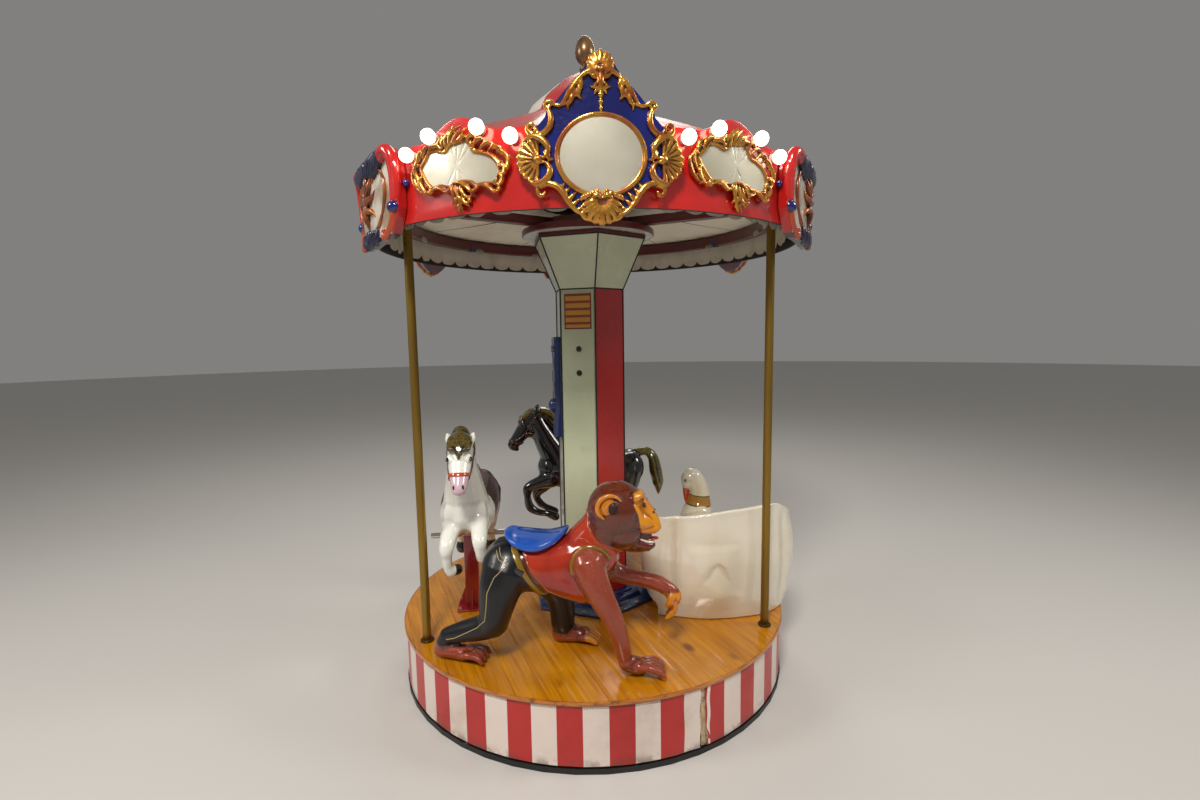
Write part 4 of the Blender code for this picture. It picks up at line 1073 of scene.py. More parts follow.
board = grid("board", 96, 12)
for point in board.data.vertices:
    angle = point.co.x * BOARD_ANGLE
    top = board_top(angle)
    height = FASCIA_BOTTOM + (point.co.y + 0.5) ** 0.8 * (top - FASCIA_BOTTOM)
    lip = LIP * math.exp(-(((top - height) / 0.011) ** 2))
    foot_lip = 0.0012 * math.exp(-(((height - FASCIA_BOTTOM) / 0.008) ** 2))
    radius = FASCIA_RADIUS - LIP + lip + foot_lip + 0.0006 * math.sin(angle * 0.37)
    point.co = round_axis(radius, angle, height)
modified(board, "SOLIDIFY", thickness=0.009, offset=-1)
modified(board, "BEVEL", width=0.0035, segments=3, limit_method="ANGLE", angle_limit=math.radians(60))
red_gloss = Finish("red_gloss", coat_weight=1.0, coat_roughness=0.05)
cloudy = red_gloss.noise(2.6, detail=5)
specks = red_gloss.noise(70, detail=5, roughness=0.75).between(0.64, 0.72)
red_body = red_gloss.mix(cloudy.between(0.35, 0.7), colour(206, 34, 28), colour(172, 20, 20))
red_gloss.feed(base_color=red_gloss.mix(specks * 0.5, red_body, colour(232, 120, 96)))
red_gloss.feed(roughness=cloudy * 0.14 + 0.14 + specks * 0.3)
red_gloss.bump(red_gloss.noise(7, detail=5) + specks * 0.15, 0.0011)
dark_inside = paint("dark_inside", colour(26, 19, 22), 0.5, 0.0, 0.1, colour(70, 60, 55), 0.4)
coat(smooth(board, 40), red_gloss.material, dark_inside)
for face in board.data.polygons:
    facing = Vector(face.center[:2]).normalized().dot(Vector(face.normal[:2]))
    face.material_index = 1 if facing < -0.3 or face.normal.z < -0.4 else 0
for number, panel in enumerate(turned_copies(board, "fascia_panel", BOARD_TURNS), 1):
    fitted(panel, "red_gloss", f"fascia_board_{number}")

# The lamps on the boards: white glass globes, lit, four on each board, screwed into short white sockets.
# Each socket is a turned cap with a bead round its mouth.
GLOBE_RADIUS, GLOBE_OUT, SOCKET_OUT, BEAD_OUT = 0.0225, 0.9195, 0.8945, 0.9005
globes, sockets = [], []
for turn in BOARD_TURNS:
    for angle, height in ((-12.2, 2.028), (-5.6, 2.064), (5.6, 2.064), (12.2, 2.028)):
        angle += turn
        tilt = (math.radians(90), 0, math.radians(angle))
        globes.append(ball("globe", 28, 16, round_axis(GLOBE_OUT, angle, height), (GLOBE_RADIUS,) * 3))
        sockets.append(rod("socket", 28, 0.0145, 0.013, round_axis(SOCKET_OUT, angle, height), tilt))
        free()
        bpy.ops.mesh.primitive_torus_add(
            major_segments=28, minor_segments=8, major_radius=0.0142, minor_radius=0.0022,
            location=round_axis(BEAD_OUT, angle, height), rotation=tilt,
        )
        sockets.append(settled(added("bead")))
lamp_globes = smooth(joined("lamp_globes", globes), 60)
lit_glass = Finish("lit_glass", emission_strength=5.5, roughness=0.2)
glow = lit_glass.noise(30, detail=2)
lit_glass.feed(base_color=lit_glass.mix(glow, colour(255, 250, 240), colour(250, 240, 225)))
lit_glass.feed(emission_color=lit_glass.mix(glow, colour(255, 246, 226), colour(255, 238, 206)))
fitted(coat(lamp_globes, lit_glass.material), "milky_mirror")
lamp_sockets = smooth(joined("lamp_sockets", sockets), 40)
coat(lamp_sockets, paint("socket_white", colour(226, 216, 196), 0.35, 0, 0.3, colour(120, 90, 60), 0.5, 60))
fitted(lamp_sockets, "cream_paint")

# The gilded carving: cast resin frames of scrolls, leaves and shells, painted gold, with painted shade in the
# hollows.
# They are modelled flat, stroke by stroke, and then bent to the curve of the boards.
MM = 0.001
STEPS, HOLLOW_GAIN = 5, 2200


def in_space(point):
    """The X, Y and Z of a point that is drawn as (across, up) or (across, up, out)."""
    return (point[0], -point[2] if len(point) > 2 else 0, point[1])


def carving(name, strokes, voxel, softness=3, share=1.0):
    """A relief of smooth tapering strokes: lines of (across, up) or (across, up, out) with radii, in mm."""
    free()
    bpy.ops.curve.primitive_nurbs_path_add()
    drawn = added(name)
    drawn.data.splines.clear()
    drawn.data.bevel_depth = MM
    drawn.data.bevel_resolution = 3 if max(strokes[0][1]) < 20 else 8
    drawn.data.use_fill_caps = True
    for line, radii in strokes:
        path = [Vector(in_space(point)) for point in line]
        ends = [path[0] * 2 - path[1], *path, path[-1] * 2 - path[-2]]
        runs = len(path) - 1
        shares = [number + step / STEPS for number in range(runs) for step in range(STEPS)] + [runs]
        before = [min(int(at), runs - 1) for at in shares]
        places = [spline_point(ends[index : index + 4], at - index) for index, at in zip(before, shares)]
        sizes = list(np.interp(shares, np.linspace(0, runs, len(radii)), radii))
        caps = [(math.sin(lean), math.cos(lean)) for lean in (0.6, 1.1, 1.5)]
        first = (places[0] - places[1]).normalized() * sizes[0]
        last = (places[-1] - places[-2]).normalized() * sizes[-1]
        start, end = places[0], places[-1]
        places = [start + first * out for out, _ in caps[::-1]] + places
        places += [end + last * out for out, _ in caps]
        sizes = [sizes[0] * thin for _, thin in caps[::-1]] + sizes + [sizes[-1] * thin for _, thin in caps]
        spline = drawn.data.splines.new("POLY")
        spline.points.add(len(places) - 1)
        for point, place, size in zip(spline.points, places, sizes):
            point.co = (*(place * MM), 1)
            point.radius = size
    lone(drawn)
    bpy.ops.object.convert(target="MESH")
    relief = settled(added(name))
    modified(relief, "REMESH", mode="VOXEL", voxel_size=voxel * MM)
    modified(relief, "SMOOTH", factor=0.5, iterations=softness)
    if share < 1:
        modified(relief, "DECIMATE", ratio=share)
    return relief


def spline_point(four, share):
    """A place on a smooth line through points, between the second and third of four."""
    before, start, end, after = four
    bend = (before * 2 - start * 5 + end * 4 - after) * share**2
    bend = bend + (start * 3 - before - end * 3 + after) * share**3
    return start + ((end - before) * share + bend) / 2


def hollows(piece, rounds=3):
    """Marks the hollows of a relief from the shape itself: 1 in a hollow, 0 on a ridge."""
    count = len(piece.data.vertices)
    places, normals = np.empty(count * 3), np.empty(count * 3)
    piece.data.vertices.foreach_get("co", places)
    piece.data.vertices.foreach_get("normal", normals)
    ends = np.empty(len(piece.data.edges) * 2, np.int32)
    piece.data.edges.foreach_get("vertices", ends)
    first, second = np.concatenate([ends[0::2], ends[1::2]]), np.concatenate([ends[1::2], ends[0::2]])
    near = np.maximum(1, np.bincount(first, minlength=count))

    def average(values):
        return np.bincount(first, weights=values[second], minlength=count) / near

    places, normals = places.reshape(-1, 3), normals.reshape(-1, 3)
    rises = [(average(places[:, axis]) - places[:, axis]) * normals[:, axis] for axis in range(3)]
    depth = sum(rises) * HOLLOW_GAIN
    for _ in range(rounds):
        depth = depth * 0.4 + average(depth) * 0.6
    mark = piece.data.attributes.new("hollow", "FLOAT", "POINT")
    mark.data.foreach_set("value", np.clip(0.5 + depth, 0, 1))
    return piece


def bent(piece, radius, height):
    """Bends a flat relief round the axis: its back lies at the radius, and its middle at the height."""
    for point in piece.data.vertices:
        angle = math.degrees(point.co.x / radius)
        point.co = round_axis(radius - point.co.y, angle, height + point.co.z)
    return piece


def gilding(name, bright, deep, metallic=0.75):
    """A gold paint with painted shade in its hollows, where it is deep brown and duller, and with a few brown
    specks.
    """
    gilt = Finish(name, metallic=metallic, coat_weight=0.5, coat_roughness=0.12)
    drift = gilt.noise(14, detail=4)
    tint = gilt.mix(drift.between(0.38, 0.68), bright, colour(178, 98, 40))
    # Painted shade in the hollows, and faint brown specks over the gold.
    brown = gilt.hollow(0.49, 0.68) * 0.9 + gilt.noise(90, detail=4).between(0.55, 0.75) * 0.25
    gilt.feed(base_color=gilt.mix(brown.least(1.0), tint, deep), roughness=drift * 0.2 + 0.16 + brown * 0.15)
    gilt.bump(gilt.noise(55, detail=4) * 0.6 + gilt.noise(180, detail=3) * 0.4, 0.0009)
    return gilt.material


gold_leaf = gilding("gold_paint", colour(218, 156, 60), colour(84, 36, 14))

# The cartouches: six small lying frames of lumpy C-scrolls, with a flame of leaves on top and a leaf
# hanging below. All six are from one mould, so they are all alike. They sit in the middle of the boards.
opening = [
    (-143, 10), (-130, 24), (-118, 34), (-103, 52), (-85, 53), (-70, 52), (-54, 44), (-39, 42), (-27, 52),
    (-17, 60), (6, 61), (36, 63), (48, 46), (58, 31), (81, 26), (100, 20), (115, 13), (128, 2), (137, -10),
    (141, -24), (136, -44), (130, -60), (108, -60), (88, -58), (58, -58), (47, -50), (21, -42), (-6, -45),
    (-17, -52), (-36, -52), (-55, -47), (-74, -48), (-92, -50), (-104, -42), (-115, -31), (-130, -10),
]


def outside(points, far):
    """The same closed line further out from its middle."""
    grown = [1 + far / math.hypot(across, up) for across, up in points]
    line = [(across * share, up * share) for (across, up), share in zip(points, grown)]
    return line + line[:1]


strokes = [(outside(opening, 9), [8.5, 9.5, 7.5, 10, 8, 9.5, 8.5, 9.5, 8, 10, 8.5])]
strokes.append(([(x, z, 7) for x, z in outside(opening, 5)], [3.2, 4.6, 3.4, 4.8, 3.0, 4.4, 3.6]))
scrolls = [
    # the left end: two long leaves that curl out at the lower corner
    [(-138, 42, 6), (-158, 28, 9), (-166, 6, 10), (-158, -16, 9), (-148, -30, 6)],
    [(-150, 22, 8), (-172, 12, 9), (-178, -10, 9), (-168, -34, 8), (-150, -52, 6), (-136, -62, 6)],
    [(-140, -14, 10), (-146, -34, 11), (-132, -56, 9), (-118, -70, 7)],
    [(-120, -60, 8), (-106, -66, 8), (-100, -58, 6), (-108, -53, 5)],
    # along the bottom: waves on each side of the hanging leaf
    [(-100, -62, 8), (-78, -56, 9), (-58, -60, 9), (-40, -72, 8), (-24, -66, 8), (-20, -54, 8)],
    [(-10, -50, 9), (10, -50, 10), (34, -64, 10), (54, -80, 8), (74, -72, 8), (84, -62, 7)],
    [(70, -66, 8), (92, -66, 9), (112, -76, 9), (130, -88, 8), (146, -80, 7), (142, -68, 6)],
    # the right end: three lumpy curls, one over the other
    [(140, -74, 8), (156, -58, 10), (150, -40, 9), (138, -42, 6)],
    [(148, -46, 8), (164, -34, 10), (160, -14, 9), (146, -14, 6)],
    [(150, -18, 9), (172, -24, 8), (176, 0, 9), (160, 20, 8), (140, 24, 7)],
    [(156, 14, 7), (150, 32, 9), (130, 38, 9), (114, 30, 7)],
    # along the top: short C-scrolls up to the flame
    [(136, 34, 8), (120, 50, 10), (98, 46, 9), (86, 34, 6)],
    [(108, 50, 7), (92, 64, 9), (72, 58, 9), (60, 42, 6)],
    [(78, 62, 7), (66, 78, 8), (48, 72, 9), (44, 60, 6)],
    [(-52, 52, 7), (-66, 66, 9), (-86, 66, 9), (-98, 60, 6)],
    [(-90, 70, 7), (-112, 68, 9), (-126, 52, 9), (-130, 38, 6)],
    [(-118, 62, 6), (-140, 58, 8), (-150, 40, 8), (-152, 24, 6)],
]
for line in scrolls:
    strokes.append((line, [3.5, 7.5, 8.0, 6.0, 3.8]))
    strokes.append(([(x * 1.02, z * 1.03, out + 7) for x, z, out in line], [1.6, 2.6, 3.0, 2.4, 1.4]))
flames = [
    [(-48, 58, 6), (-44, 76, 10), (-28, 92, 10), (-18, 108, 6)],
    [(-34, 60, 8), (-30, 84, 11), (-12, 100, 11), (0, 118, 7)],
    [(-20, 66, 8), (-12, 88, 12), (8, 104, 11), (26, 112, 6)],
    [(-6, 66, 9), (8, 84, 12), (28, 92, 11), (44, 104, 6)],
    [(10, 68, 8), (28, 78, 10), (46, 78, 9), (60, 90, 5)],
    [(-60, 56, 6), (-62, 70, 9), (-52, 86, 8), (-44, 96, 4)],
]
leaf = [
    [(2, -52, 8), (2, -74, 11), (10, -100, 11), (20, -139, 5)],
    [(-10, -54, 7), (-14, -74, 10), (-10, -96, 9), (-20, -112, 4)],
    [(14, -54, 7), (20, -76, 10), (30, -92, 9), (46, -96, 6), (54, -88, 4)],
    [(6, -88, 9), (-2, -108, 8), (-6, -124, 4)],
    [(16, -98, 9), (30, -112, 8), (42, -122, 4)],
    [(10, -112, 8), (4, -128, 7), (8, -136, 4)],
]
for line in flames + leaf:
    strokes.append((line, [6.5, 7.5, 5.5, 2.2]))
    strokes.append(([(x, z, out + 5) for x, z, out in line], [1.2, 2.2, 2.0, 0.8]))
strokes.append(([(44, -106, 6), (46, -106, 8)], [7.5, 7.5]))
CARTOUCHE_HEIGHT, FRAME_OUT, GLASS_OUT = 1.970, 0.8935, 0.8958
cartouche_frame = bent(hollows(carving("cartouche", strokes, 2.4, share=0.38)), FRAME_OUT, CARTOUCHE_HEIGHT)
coat(smooth(cartouche_frame, 60), gold_leaf)
for number, frame_copy in enumerate(turned_copies(cartouche_frame, "cartouche_frame", BOARD_TURNS), 1):
    fitted(frame_copy, "gold_paint", f"cartouche_{number}")

# Their mirrors: thin plates of mirrored acrylic, gone milky, cut to the opening and held by the frame.
# They reflect softly, and have fine scratches.
glass_points = [Vector((x * MM * 1.05, 0, z * MM * 1.05)) for x, z in opening]


def apart(place, turn):
    """How far round the bearing of a place is from a turn."""
    return abs((math.atan2(place.z, place.x) - turn + math.pi) % math.tau - math.pi)


free()
bpy.ops.mesh.primitive_circle_add(
    vertices=len(glass_points), radius=0.1, fill_type="TRIFAN", rotation=ALONG_Y
)
glass = settled(added("cartouche_glass"))
for point in glass.data.vertices:
    turn = math.atan2(point.co.z, point.co.x)
    if point.co.length > 0.05:
        point.co = min(glass_points, key=lambda place: apart(place, turn))
modified(closed(glass, weld=0, cuts=4), "SOLIDIFY", thickness=0.003, offset=0)
bent(glass, GLASS_OUT, CARTOUCHE_HEIGHT)
milky = Finish("milky_mirror", metallic=0.4, coat_weight=0.5, coat_roughness=0.08)
scratch_place = milky.moved(size=(0.12, 0.12, 0.02))
scratches = milky.noise(60, scratch_place, detail=5, roughness=0.7).between(0.56, 0.66)
fog = milky.noise(5, detail=4)
milky.feed(base_color=milky.mix(fog.between(0.3, 0.7), colour(196, 191, 174), colour(176, 170, 148)))
milky.feed(roughness=fog * 0.2 + 0.28 + scratches * 0.2)
milky.bump(scratches * 0.3 + milky.noise(12, detail=3), 0.0006)
coat(smooth(glass, 40), milky.material)
for glass_copy in turned_copies(glass, "cartouche_glass", BOARD_TURNS):
    fitted(glass_copy, "milky_mirror")

# The blue balls: small wooden balls, painted blue, on the boards beside each medallion and each shield.
# They are glued into shallow holes.
BALL_RADIUS, BALL_OUT = 0.0115, 0.897
balls = []
for turn in MEDALLION_TURNS:
    for angle, height in ((-15.2, 1.953), (15.2, 1.953), (-43.4, 1.955), (43.4, 1.955)):
        balls.append(ball("ball", 28, 16, round_axis(BALL_OUT, turn + angle, height), (BALL_RADIUS,) * 3))
board_balls = smooth(joined("board_balls", balls), 60)
blue_gloss = Finish("blue_gloss", coat_weight=0.8, coat_roughness=0.04)
deepening = blue_gloss.noise(4, detail=4)
blue_gloss.feed(
    base_color=blue_gloss.mix(deepening.between(0.35, 0.7), colour(26, 42, 142), colour(14, 22, 96))
)
blue_gloss.feed(roughness=deepening * 0.12 + 0.10)
blue_gloss.bump(blue_gloss.noise(16, detail=4) * 0.8 + blue_gloss.noise(70, detail=2) * 0.3, 0.0018)
fitted(coat(board_balls, blue_gloss.material), "blue_gloss")

# The medallions: three tall blue plates over the joints of the boards, edged with gilded leaves and shells.
# A fan shell stands on each side, a shell on top and one below, and a chain of buds runs down to the oval
# mirror.
ground = Finish("medallion_ground", coat_weight=0.6, coat_roughness=0.05)
x, y, _ = ground.parts(ground.where)
far_out = (x * x + y * y) ** 0.5
ripple = ground.noise(4, detail=4)
blue_face = ground.mix(ripple.between(0.35, 0.7), colour(24, 38, 138), colour(12, 20, 92))
# Painted light: the edges and backs of the blue plates are pale lilac, for the glow of the lamps on the
# boards.
blue_face = ground.mix(far_out.between(0.9088, 0.9094), colour(150, 124, 138), blue_face)
ground.feed(base_color=blue_face, roughness=ripple * 0.1 + 0.10)
ground.bump(ground.noise(15, detail=4) * 0.8 + ground.noise(60, detail=2) * 0.3, 0.0022)
for number in (1, 2, 3):
    recoat(f"medallion_{number}", ground.material)
CENTRE, CARVING_OUT = 1.965, 0.9085
SWELL = 1.22
half = []


def grow(line, radii, ridge=0.0):
    """One stroke of the left half of the medallion, with a thin ridge along it where the leaf has one."""
    half.append((line, radii))
    if ridge:
        raised = [(x, z, out + max(radii) * 0.8) for x, z, out in line]
        half.append((raised, [ridge * 0.6, ridge, ridge * 0.5]))


# crest shell: ribs that fan out from a knot, with a rolled edge
for number in range(6):
    turn = math.radians(90 + number * 25)
    reach = 40 - 2.2 * number
    tip = (reach * math.cos(turn), 240 + (reach - (2 if number < 5 else 10)) * math.sin(turn))
    grow([(0, 222, 10), (tip[0] * 0.55, 222 + (tip[1] - 222) * 0.55, 14), (tip[0], tip[1], 8)], [3, 5.5, 7.0])
grow([(-12, 224, 14), (-6, 230, 17), (0, 224, 18)], [4, 6, 5])
grow([(-2, 214, 12), (-16, 210, 12), (-26, 218, 10), (-24, 228, 9), (-16, 227, 9)], [4.5, 5, 4, 3])
grow([(0, 216, 12), (0, 196, 14), (0, 176, 10)], [9, 8, 4], 2)
grow([(0, 200, 10), (-12, 192, 9), (-20, 184, 7), (-28, 188, 4)], [5, 5, 3.5, 2])
grow([(0, 186, 10), (-10, 178, 8), (-16, 168, 6)], [5, 4.5, 2.5])
for top, low, size in ((176, 152, 7.5), (154, 134, 6.5), (136, 120, 5.5)):
    grow([(0, top, 7), (0, (top + low) / 2, 9), (0, low, 6)], [2.5, size, 2.5])
# hook from the crest to the leaf
grow([(-8, 206, 12), (-14, 220, 12), (-30, 226, 10), (-50, 217, 8), (-60, 204, 7)], [5, 6.5, 6, 5.5, 4])
# acanthus leaf: a stem and its lobes
grow([(-50, 218, 7), (-66, 200, 9), (-86, 172, 9), (-108, 141, 6)], [5, 8, 8, 4], 2.6)
grow([(-56, 206, 8), (-54, 192, 9), (-50, 182, 5)], [6, 6, 1.8], 1.4)
grow([(-62, 198, 8), (-60, 178, 9), (-62, 162, 8), (-53, 151, 4)], [6, 6.5, 5, 1.6], 1.6)
grow([(-72, 184, 8), (-72, 166, 9), (-78, 152, 5)], [6, 5.5, 1.8], 1.4)
grow([(-80, 172, 8), (-82, 152, 9), (-92, 138, 7), (-91, 124, 4)], [6, 6.5, 4.5, 1.6], 1.6)
grow([(-92, 158, 7), (-98, 146, 7), (-104, 136, 4)], [5, 4.5, 1.8])
# link and the S-scroll
grow([(-106, 142, 5), (-118, 137, 6), (-130, 140, 6)], [3.5, 5, 4.5])
grow([(-128, 138, 6), (-140, 147, 8), (-153, 146, 9), (-156, 134, 9), (-146, 131, 9), (-143, 138, 9)],
     [4.5, 5.5, 5.5, 5, 4.5, 4])
grow([(-150, 132, 7), (-143, 116, 8), (-140, 98, 9), (-148, 76, 9), (-170, 60, 8), (-194, 62, 8)],
     [5, 7, 8, 8, 7.5, 6], 2.6)
grow([(-190, 62, 8), (-206, 70, 9), (-208, 84, 9), (-196, 90, 9), (-188, 80, 8)], [6, 7, 6.5, 5.5, 4])
grow([(-176, 62, 8), (-184, 74, 10), (-192, 84, 8)], [4, 4.5, 2.5])
# fan shell and its two C-scrolls
for number in range(10):
    turn = math.radians(98 + number * 18.2)
    reach = 56 + 3 * math.cos(turn + math.pi)
    root = (-177 + 10 * math.cos(turn), -9 + 10 * math.sin(turn))
    tip = (-177 + reach * math.cos(turn), -9 + reach * math.sin(turn))
    middle = ((root[0] + tip[0]) / 2, (root[1] + tip[1]) / 2, 9)
    half.append(([(*root, 12), middle, (*tip, 7)], [2.2, 5.2, 8.2]))
    grow([(*root, 14), (tip[0], tip[1], 13)], [1.4, 2.4])
grow([(-172, -4, 12), (-180, -8, 15), (-170, -16, 13)], [6, 7, 5])
grow([(-221, 43, 7), (-208, 52, 9), (-190, 55, 10), (-168, 46, 11), (-152, 26, 11), (-152, 6, 10),
      (-164, -4, 9)], [4, 6.5, 8, 8.5, 8, 6, 4], 3)
grow([(-160, 10, 10), (-150, 2, 11), (-148, -8, 9), (-138, -9, 6)], [5, 5, 4.5, 3])
grow([(-164, -14, 9), (-150, -26, 11), (-146, -46, 11), (-160, -66, 11), (-186, -76, 10), (-208, -66, 7)],
     [4, 6.5, 8.5, 8.5, 7.5, 4], 3)
grow([(-206, -62, 7), (-214, -48, 7), (-222, -36, 5)], [5, 4.5, 3])
# lower S-scroll with its leaves
grow([(-172, -74, 8), (-182, -88, 8), (-180, -104, 8), (-168, -108, 8), (-162, -98, 8)], [6, 6.5, 6, 5, 3.5])
grow([(-172, -84, 8), (-154, -76, 9), (-130, -82, 9), (-112, -100, 9), (-96, -126, 8), (-74, -152, 7),
      (-48, -166, 5)], [5, 7.5, 8, 8, 7, 5.5, 3], 2.6)
grow([(-122, -92, 8), (-112, -84, 8), (-106, -72, 4)], [5.5, 5, 1.6])
grow([(-110, -106, 8), (-98, -96, 8), (-92, -86, 4)], [5.5, 5, 1.6])
grow([(-98, -126, 8), (-84, -112, 9), (-72, -100, 5)], [6, 5.5, 1.8], 1.4)
grow([(-88, -138, 8), (-76, -130, 8), (-64, -118, 4)], [5.5, 5, 1.8], 1.4)
grow([(-74, -152, 7), (-62, -146, 7), (-54, -134, 4)], [5, 4.5, 1.6])
grow([(-56, -164, 5), (-50, -158, 5), (-46, -168, 4)], [3, 3, 2])
# the pendant shell
for number in range(5):
    turn = math.radians(-90 - number * 21)
    reach = 58 - 2 * number
    tip = (reach * 0.95 * math.cos(turn), -132 + reach * math.sin(turn) * 0.92)
    half.append(([(0, -118, 10), (tip[0] * 0.6, -118 + (tip[1] + 118) * 0.6, 10), (*tip, 4)], [4, 9.5, 9]))
    grow([(0, -116, 16), (tip[0] * 0.9, -118 + (tip[1] + 118) * 0.9, 10)], [1.8, 2.6])
for number in range(4):
    across = -8 - 13 * number
    grow([(across, -106 - number * 4, 11), (across - 5, -100 - number * 5, 13),
          (across - 12, -110 - number * 4, 10)], [5, 6.5, 4.5])
grow([(-4, -120, 14), (-14, -112, 17), (-26, -120, 15), (-24, -130, 14)], [4, 5, 4.5, 3])
grow([(-4, -142, 13), (-2, -158, 11), (0, -174, 6)], [3, 4, 3])
grow([(-50, -150, 6), (-56, -162, 6), (-48, -174, 5), (-30, -180, 4)], [6, 6, 5, 4])


def mirrored(strokes):
    """The same strokes on the other side of the middle."""
    return [([(-point[0], *point[1:]) for point in line], radii) for line, radii in strokes]


whole = half + mirrored([(line, radii) for line, radii in half if any(point[0] for point in line)])
whole = [(line, [size * SWELL for size in radii]) for line, radii in whole]
medallion = bent(hollows(carving("medallion", whole, 2.3, share=0.36)), CARVING_OUT, CENTRE)
coat(smooth(medallion, 60), gold_leaf)
for medallion_copy in turned_copies(medallion, "medallion_carving", MEDALLION_TURNS):
    fitted(medallion_copy, "gold_paint")

# The oval frame of each medallion: a turned moulding with two steps, gilded, round a milky mirror set deep
# in it. The mirror has a small nick at its top.
ring_section = [
    (1.000, 0.000), (1.000, 0.0060), (0.990, 0.0090), (0.975, 0.0105), (0.955, 0.0105), (0.940, 0.0085),
    (0.925, 0.0085), (0.915, 0.0070), (0.900, 0.0068), (0.885, 0.0050), (0.875, 0.0020), (0.872, 0.0000),
    (1.000, 0.000),
]
OVAL_WIDE, OVAL_HIGH, OVAL_OUT = 0.1335, 0.1185, 0.911
oval = turned("oval", ring_section, 120)
for point in oval.data.vertices:
    point.co = (point.co.x * OVAL_WIDE, -point.co.z, point.co.y * OVAL_HIGH)
hollows(bent(closed(oval, weld=0), OVAL_OUT, CENTRE), 1)
gold_ring = gilding("ring_gold", colour(214, 156, 66), colour(122, 66, 28), 0.7)
coat(smooth(oval, 40), gold_ring)
for number, oval_copy in enumerate(turned_copies(oval, "medallion_ring", MEDALLION_TURNS), 1):
    fitted(oval_copy, "gold_paint", f"medallion_mirror_{number}")
disc = grid("disc", 60, 6)
for point in disc.data.vertices:
    turn = (point.co.x + 0.5) * math.tau
    out = (point.co.y + 0.5) * (0.895 - 0.02 * math.exp(-(((turn - math.radians(92)) / 0.035) ** 2)))
    sunk = -0.0030 - 0.002 * (1 - out**2)
    point.co = (out * OVAL_WIDE * math.cos(turn), sunk, out * OVAL_HIGH * math.sin(turn))
modified(closed(disc), "SOLIDIFY", thickness=0.0020, offset=0)
bent(disc, OVAL_OUT, CENTRE)
coat(smooth(disc, 40), milky.material)
for disc_copy in turned_copies(disc, "medallion_glass", MEDALLION_TURNS):
    fitted(disc_copy, "milky_mirror")

# The shields: three cast ornaments over the outer joints of the boards, above the poles.
# Two red half-round strips hook over at the top and end in blue balls, with orange rods and curls below them.
shield_ground = Finish("shield_ground", coat_weight=0.7, coat_roughness=0.06)
x, y, z = shield_ground.parts(shield_ground.where)
lean = y / (x * x + y * y) ** 0.5
from_middle = (lean * lean * lean * 4 - lean * 3) * -1
smear = shield_ground.noise(11, detail=5)
enamel = shield_ground.mix(smear.between(0.4, 0.7), colour(214, 206, 190), colour(150, 128, 104))
enamel = shield_ground.mix(from_middle.between(-0.80, -0.775), enamel, colour(176, 24, 20))
above_middle = z - CENTRE + 0.027
dark_ends = (above_middle * above_middle).between(0.0187, 0.0195)
enamel = shield_ground.mix(dark_ends, enamel, colour(16, 16, 44))
shield_ground.feed(base_color=enamel, roughness=smear * 0.2 + 0.16)
shield_ground.bump(smear + shield_ground.noise(60, detail=3) * 0.3, 0.0012)
for number in (1, 2, 3):
    recoat(f"shield_{number}", shield_ground.material)
parts = {}
parts["strips"] = [
    ([(-160, 82, 22), (-182, 98, 24), (-206, 96, 22), (-222, 76, 18), (-228, 44, 16), (-230, 6, 14),
      (-227, -30, 13), (-223, -62, 12)], [17, 20, 21, 20, 18, 17, 16, 15]),
    ([(-228, 72, 10), (-239, 34, 10), (-240, -10, 10), (-236, -58, 10)], [15, 17, 17, 15]),
]
parts["rods"] = [
    ([(-219, -96, 10), (-211, -116, 10), (-200, -136, 10), (-186, -152, 11)], [15, 16, 16, 15]),
    ([(-186, -150, 13), (-168, -168, 14), (-148, -172, 14), (-140, -156, 14), (-154, -146, 15)],
     [12, 13, 13, 11, 8]),
]
parts["feathers"] = [
    ([(-20, 60, 18), (-40, 92, 18), (-60, 110, 14)], [14, 16, 9]),
    ([(-40, 56, 18), (-74, 92, 20), (-102, 112, 15)], [13, 17, 9]),
    ([(-64, 50, 18), (-104, 84, 21), (-140, 112, 16)], [13, 17, 9]),
    ([(-86, 42, 18), (-128, 74, 22), (-160, 104, 20), (-192, 112, 15)], [12, 17, 16, 10]),
    ([(-112, 50, 18), (-146, 70, 24), (-170, 92, 28), (-188, 100, 30)], [10, 15, 14, 7]),
    ([(0, 62, 18), (-8, 90, 20), (-14, 104, 14)], [14, 16, 10]),
    ([(-60, -146, 16), (-40, -170, 16), (-10, -186, 12)], [13, 14, 9]),
    ([(-96, -140, 14), (-90, -166, 14), (-60, -184, 10)], [12, 14, 8]),
    ([(-10, -140, 16), (-6, -168, 17), (-4, -184, 12)], [12, 13, 9]),
]
parts["relief"] = [
    ([(-150, 40, 18), (-168, 10, 18), (-172, -30, 17), (-160, -66, 17), (-140, -96, 16)], [5, 8, 8, 7, 5]),
    ([(-140, -96, 17), (-118, -124, 17), (-90, -132, 16)], [6, 8, 5]),
    ([(-150, 44, 18), (-120, 58, 18), (-84, 44, 18), (-60, 24, 16)], [5, 7, 7, 4]),
    ([(0, -20, 20), (-22, 2, 24), (-40, 20, 22), (-48, 44, 16)], [9, 12, 9, 4]),
    ([(0, -40, 20), (-30, -30, 24), (-62, -22, 20), (-84, 0, 14)], [9, 12, 8, 3]),
    ([(0, -60, 20), (-28, -66, 24), (-56, -70, 20), (-78, -92, 14)], [9, 12, 8, 3]),
    ([(0, -50, 22), (0, -84, 24), (-4, -124, 14)], [10, 12, 5]),
    ([(0, 10, 22), (0, 36, 22), (0, 60, 18)], [9, 10, 5]),
]
orange_paint = paint("orange_paint", colour(178, 66, 26), 0.2, 0.0, 0.9, colour(96, 40, 22), 0.6, 40, 0.0008)
feather_blue = paint("feather_blue", colour(14, 15, 52), 0.35, 0.0, 0.3, colour(60, 50, 74), 0.2, 50, 0.0009)
brown_gilt = gilding("brown_gilt", colour(120, 62, 38), colour(46, 20, 16), 0.3)
coats = {"strips": red_gloss.material, "rods": orange_paint, "feathers": feather_blue, "relief": brown_gilt}
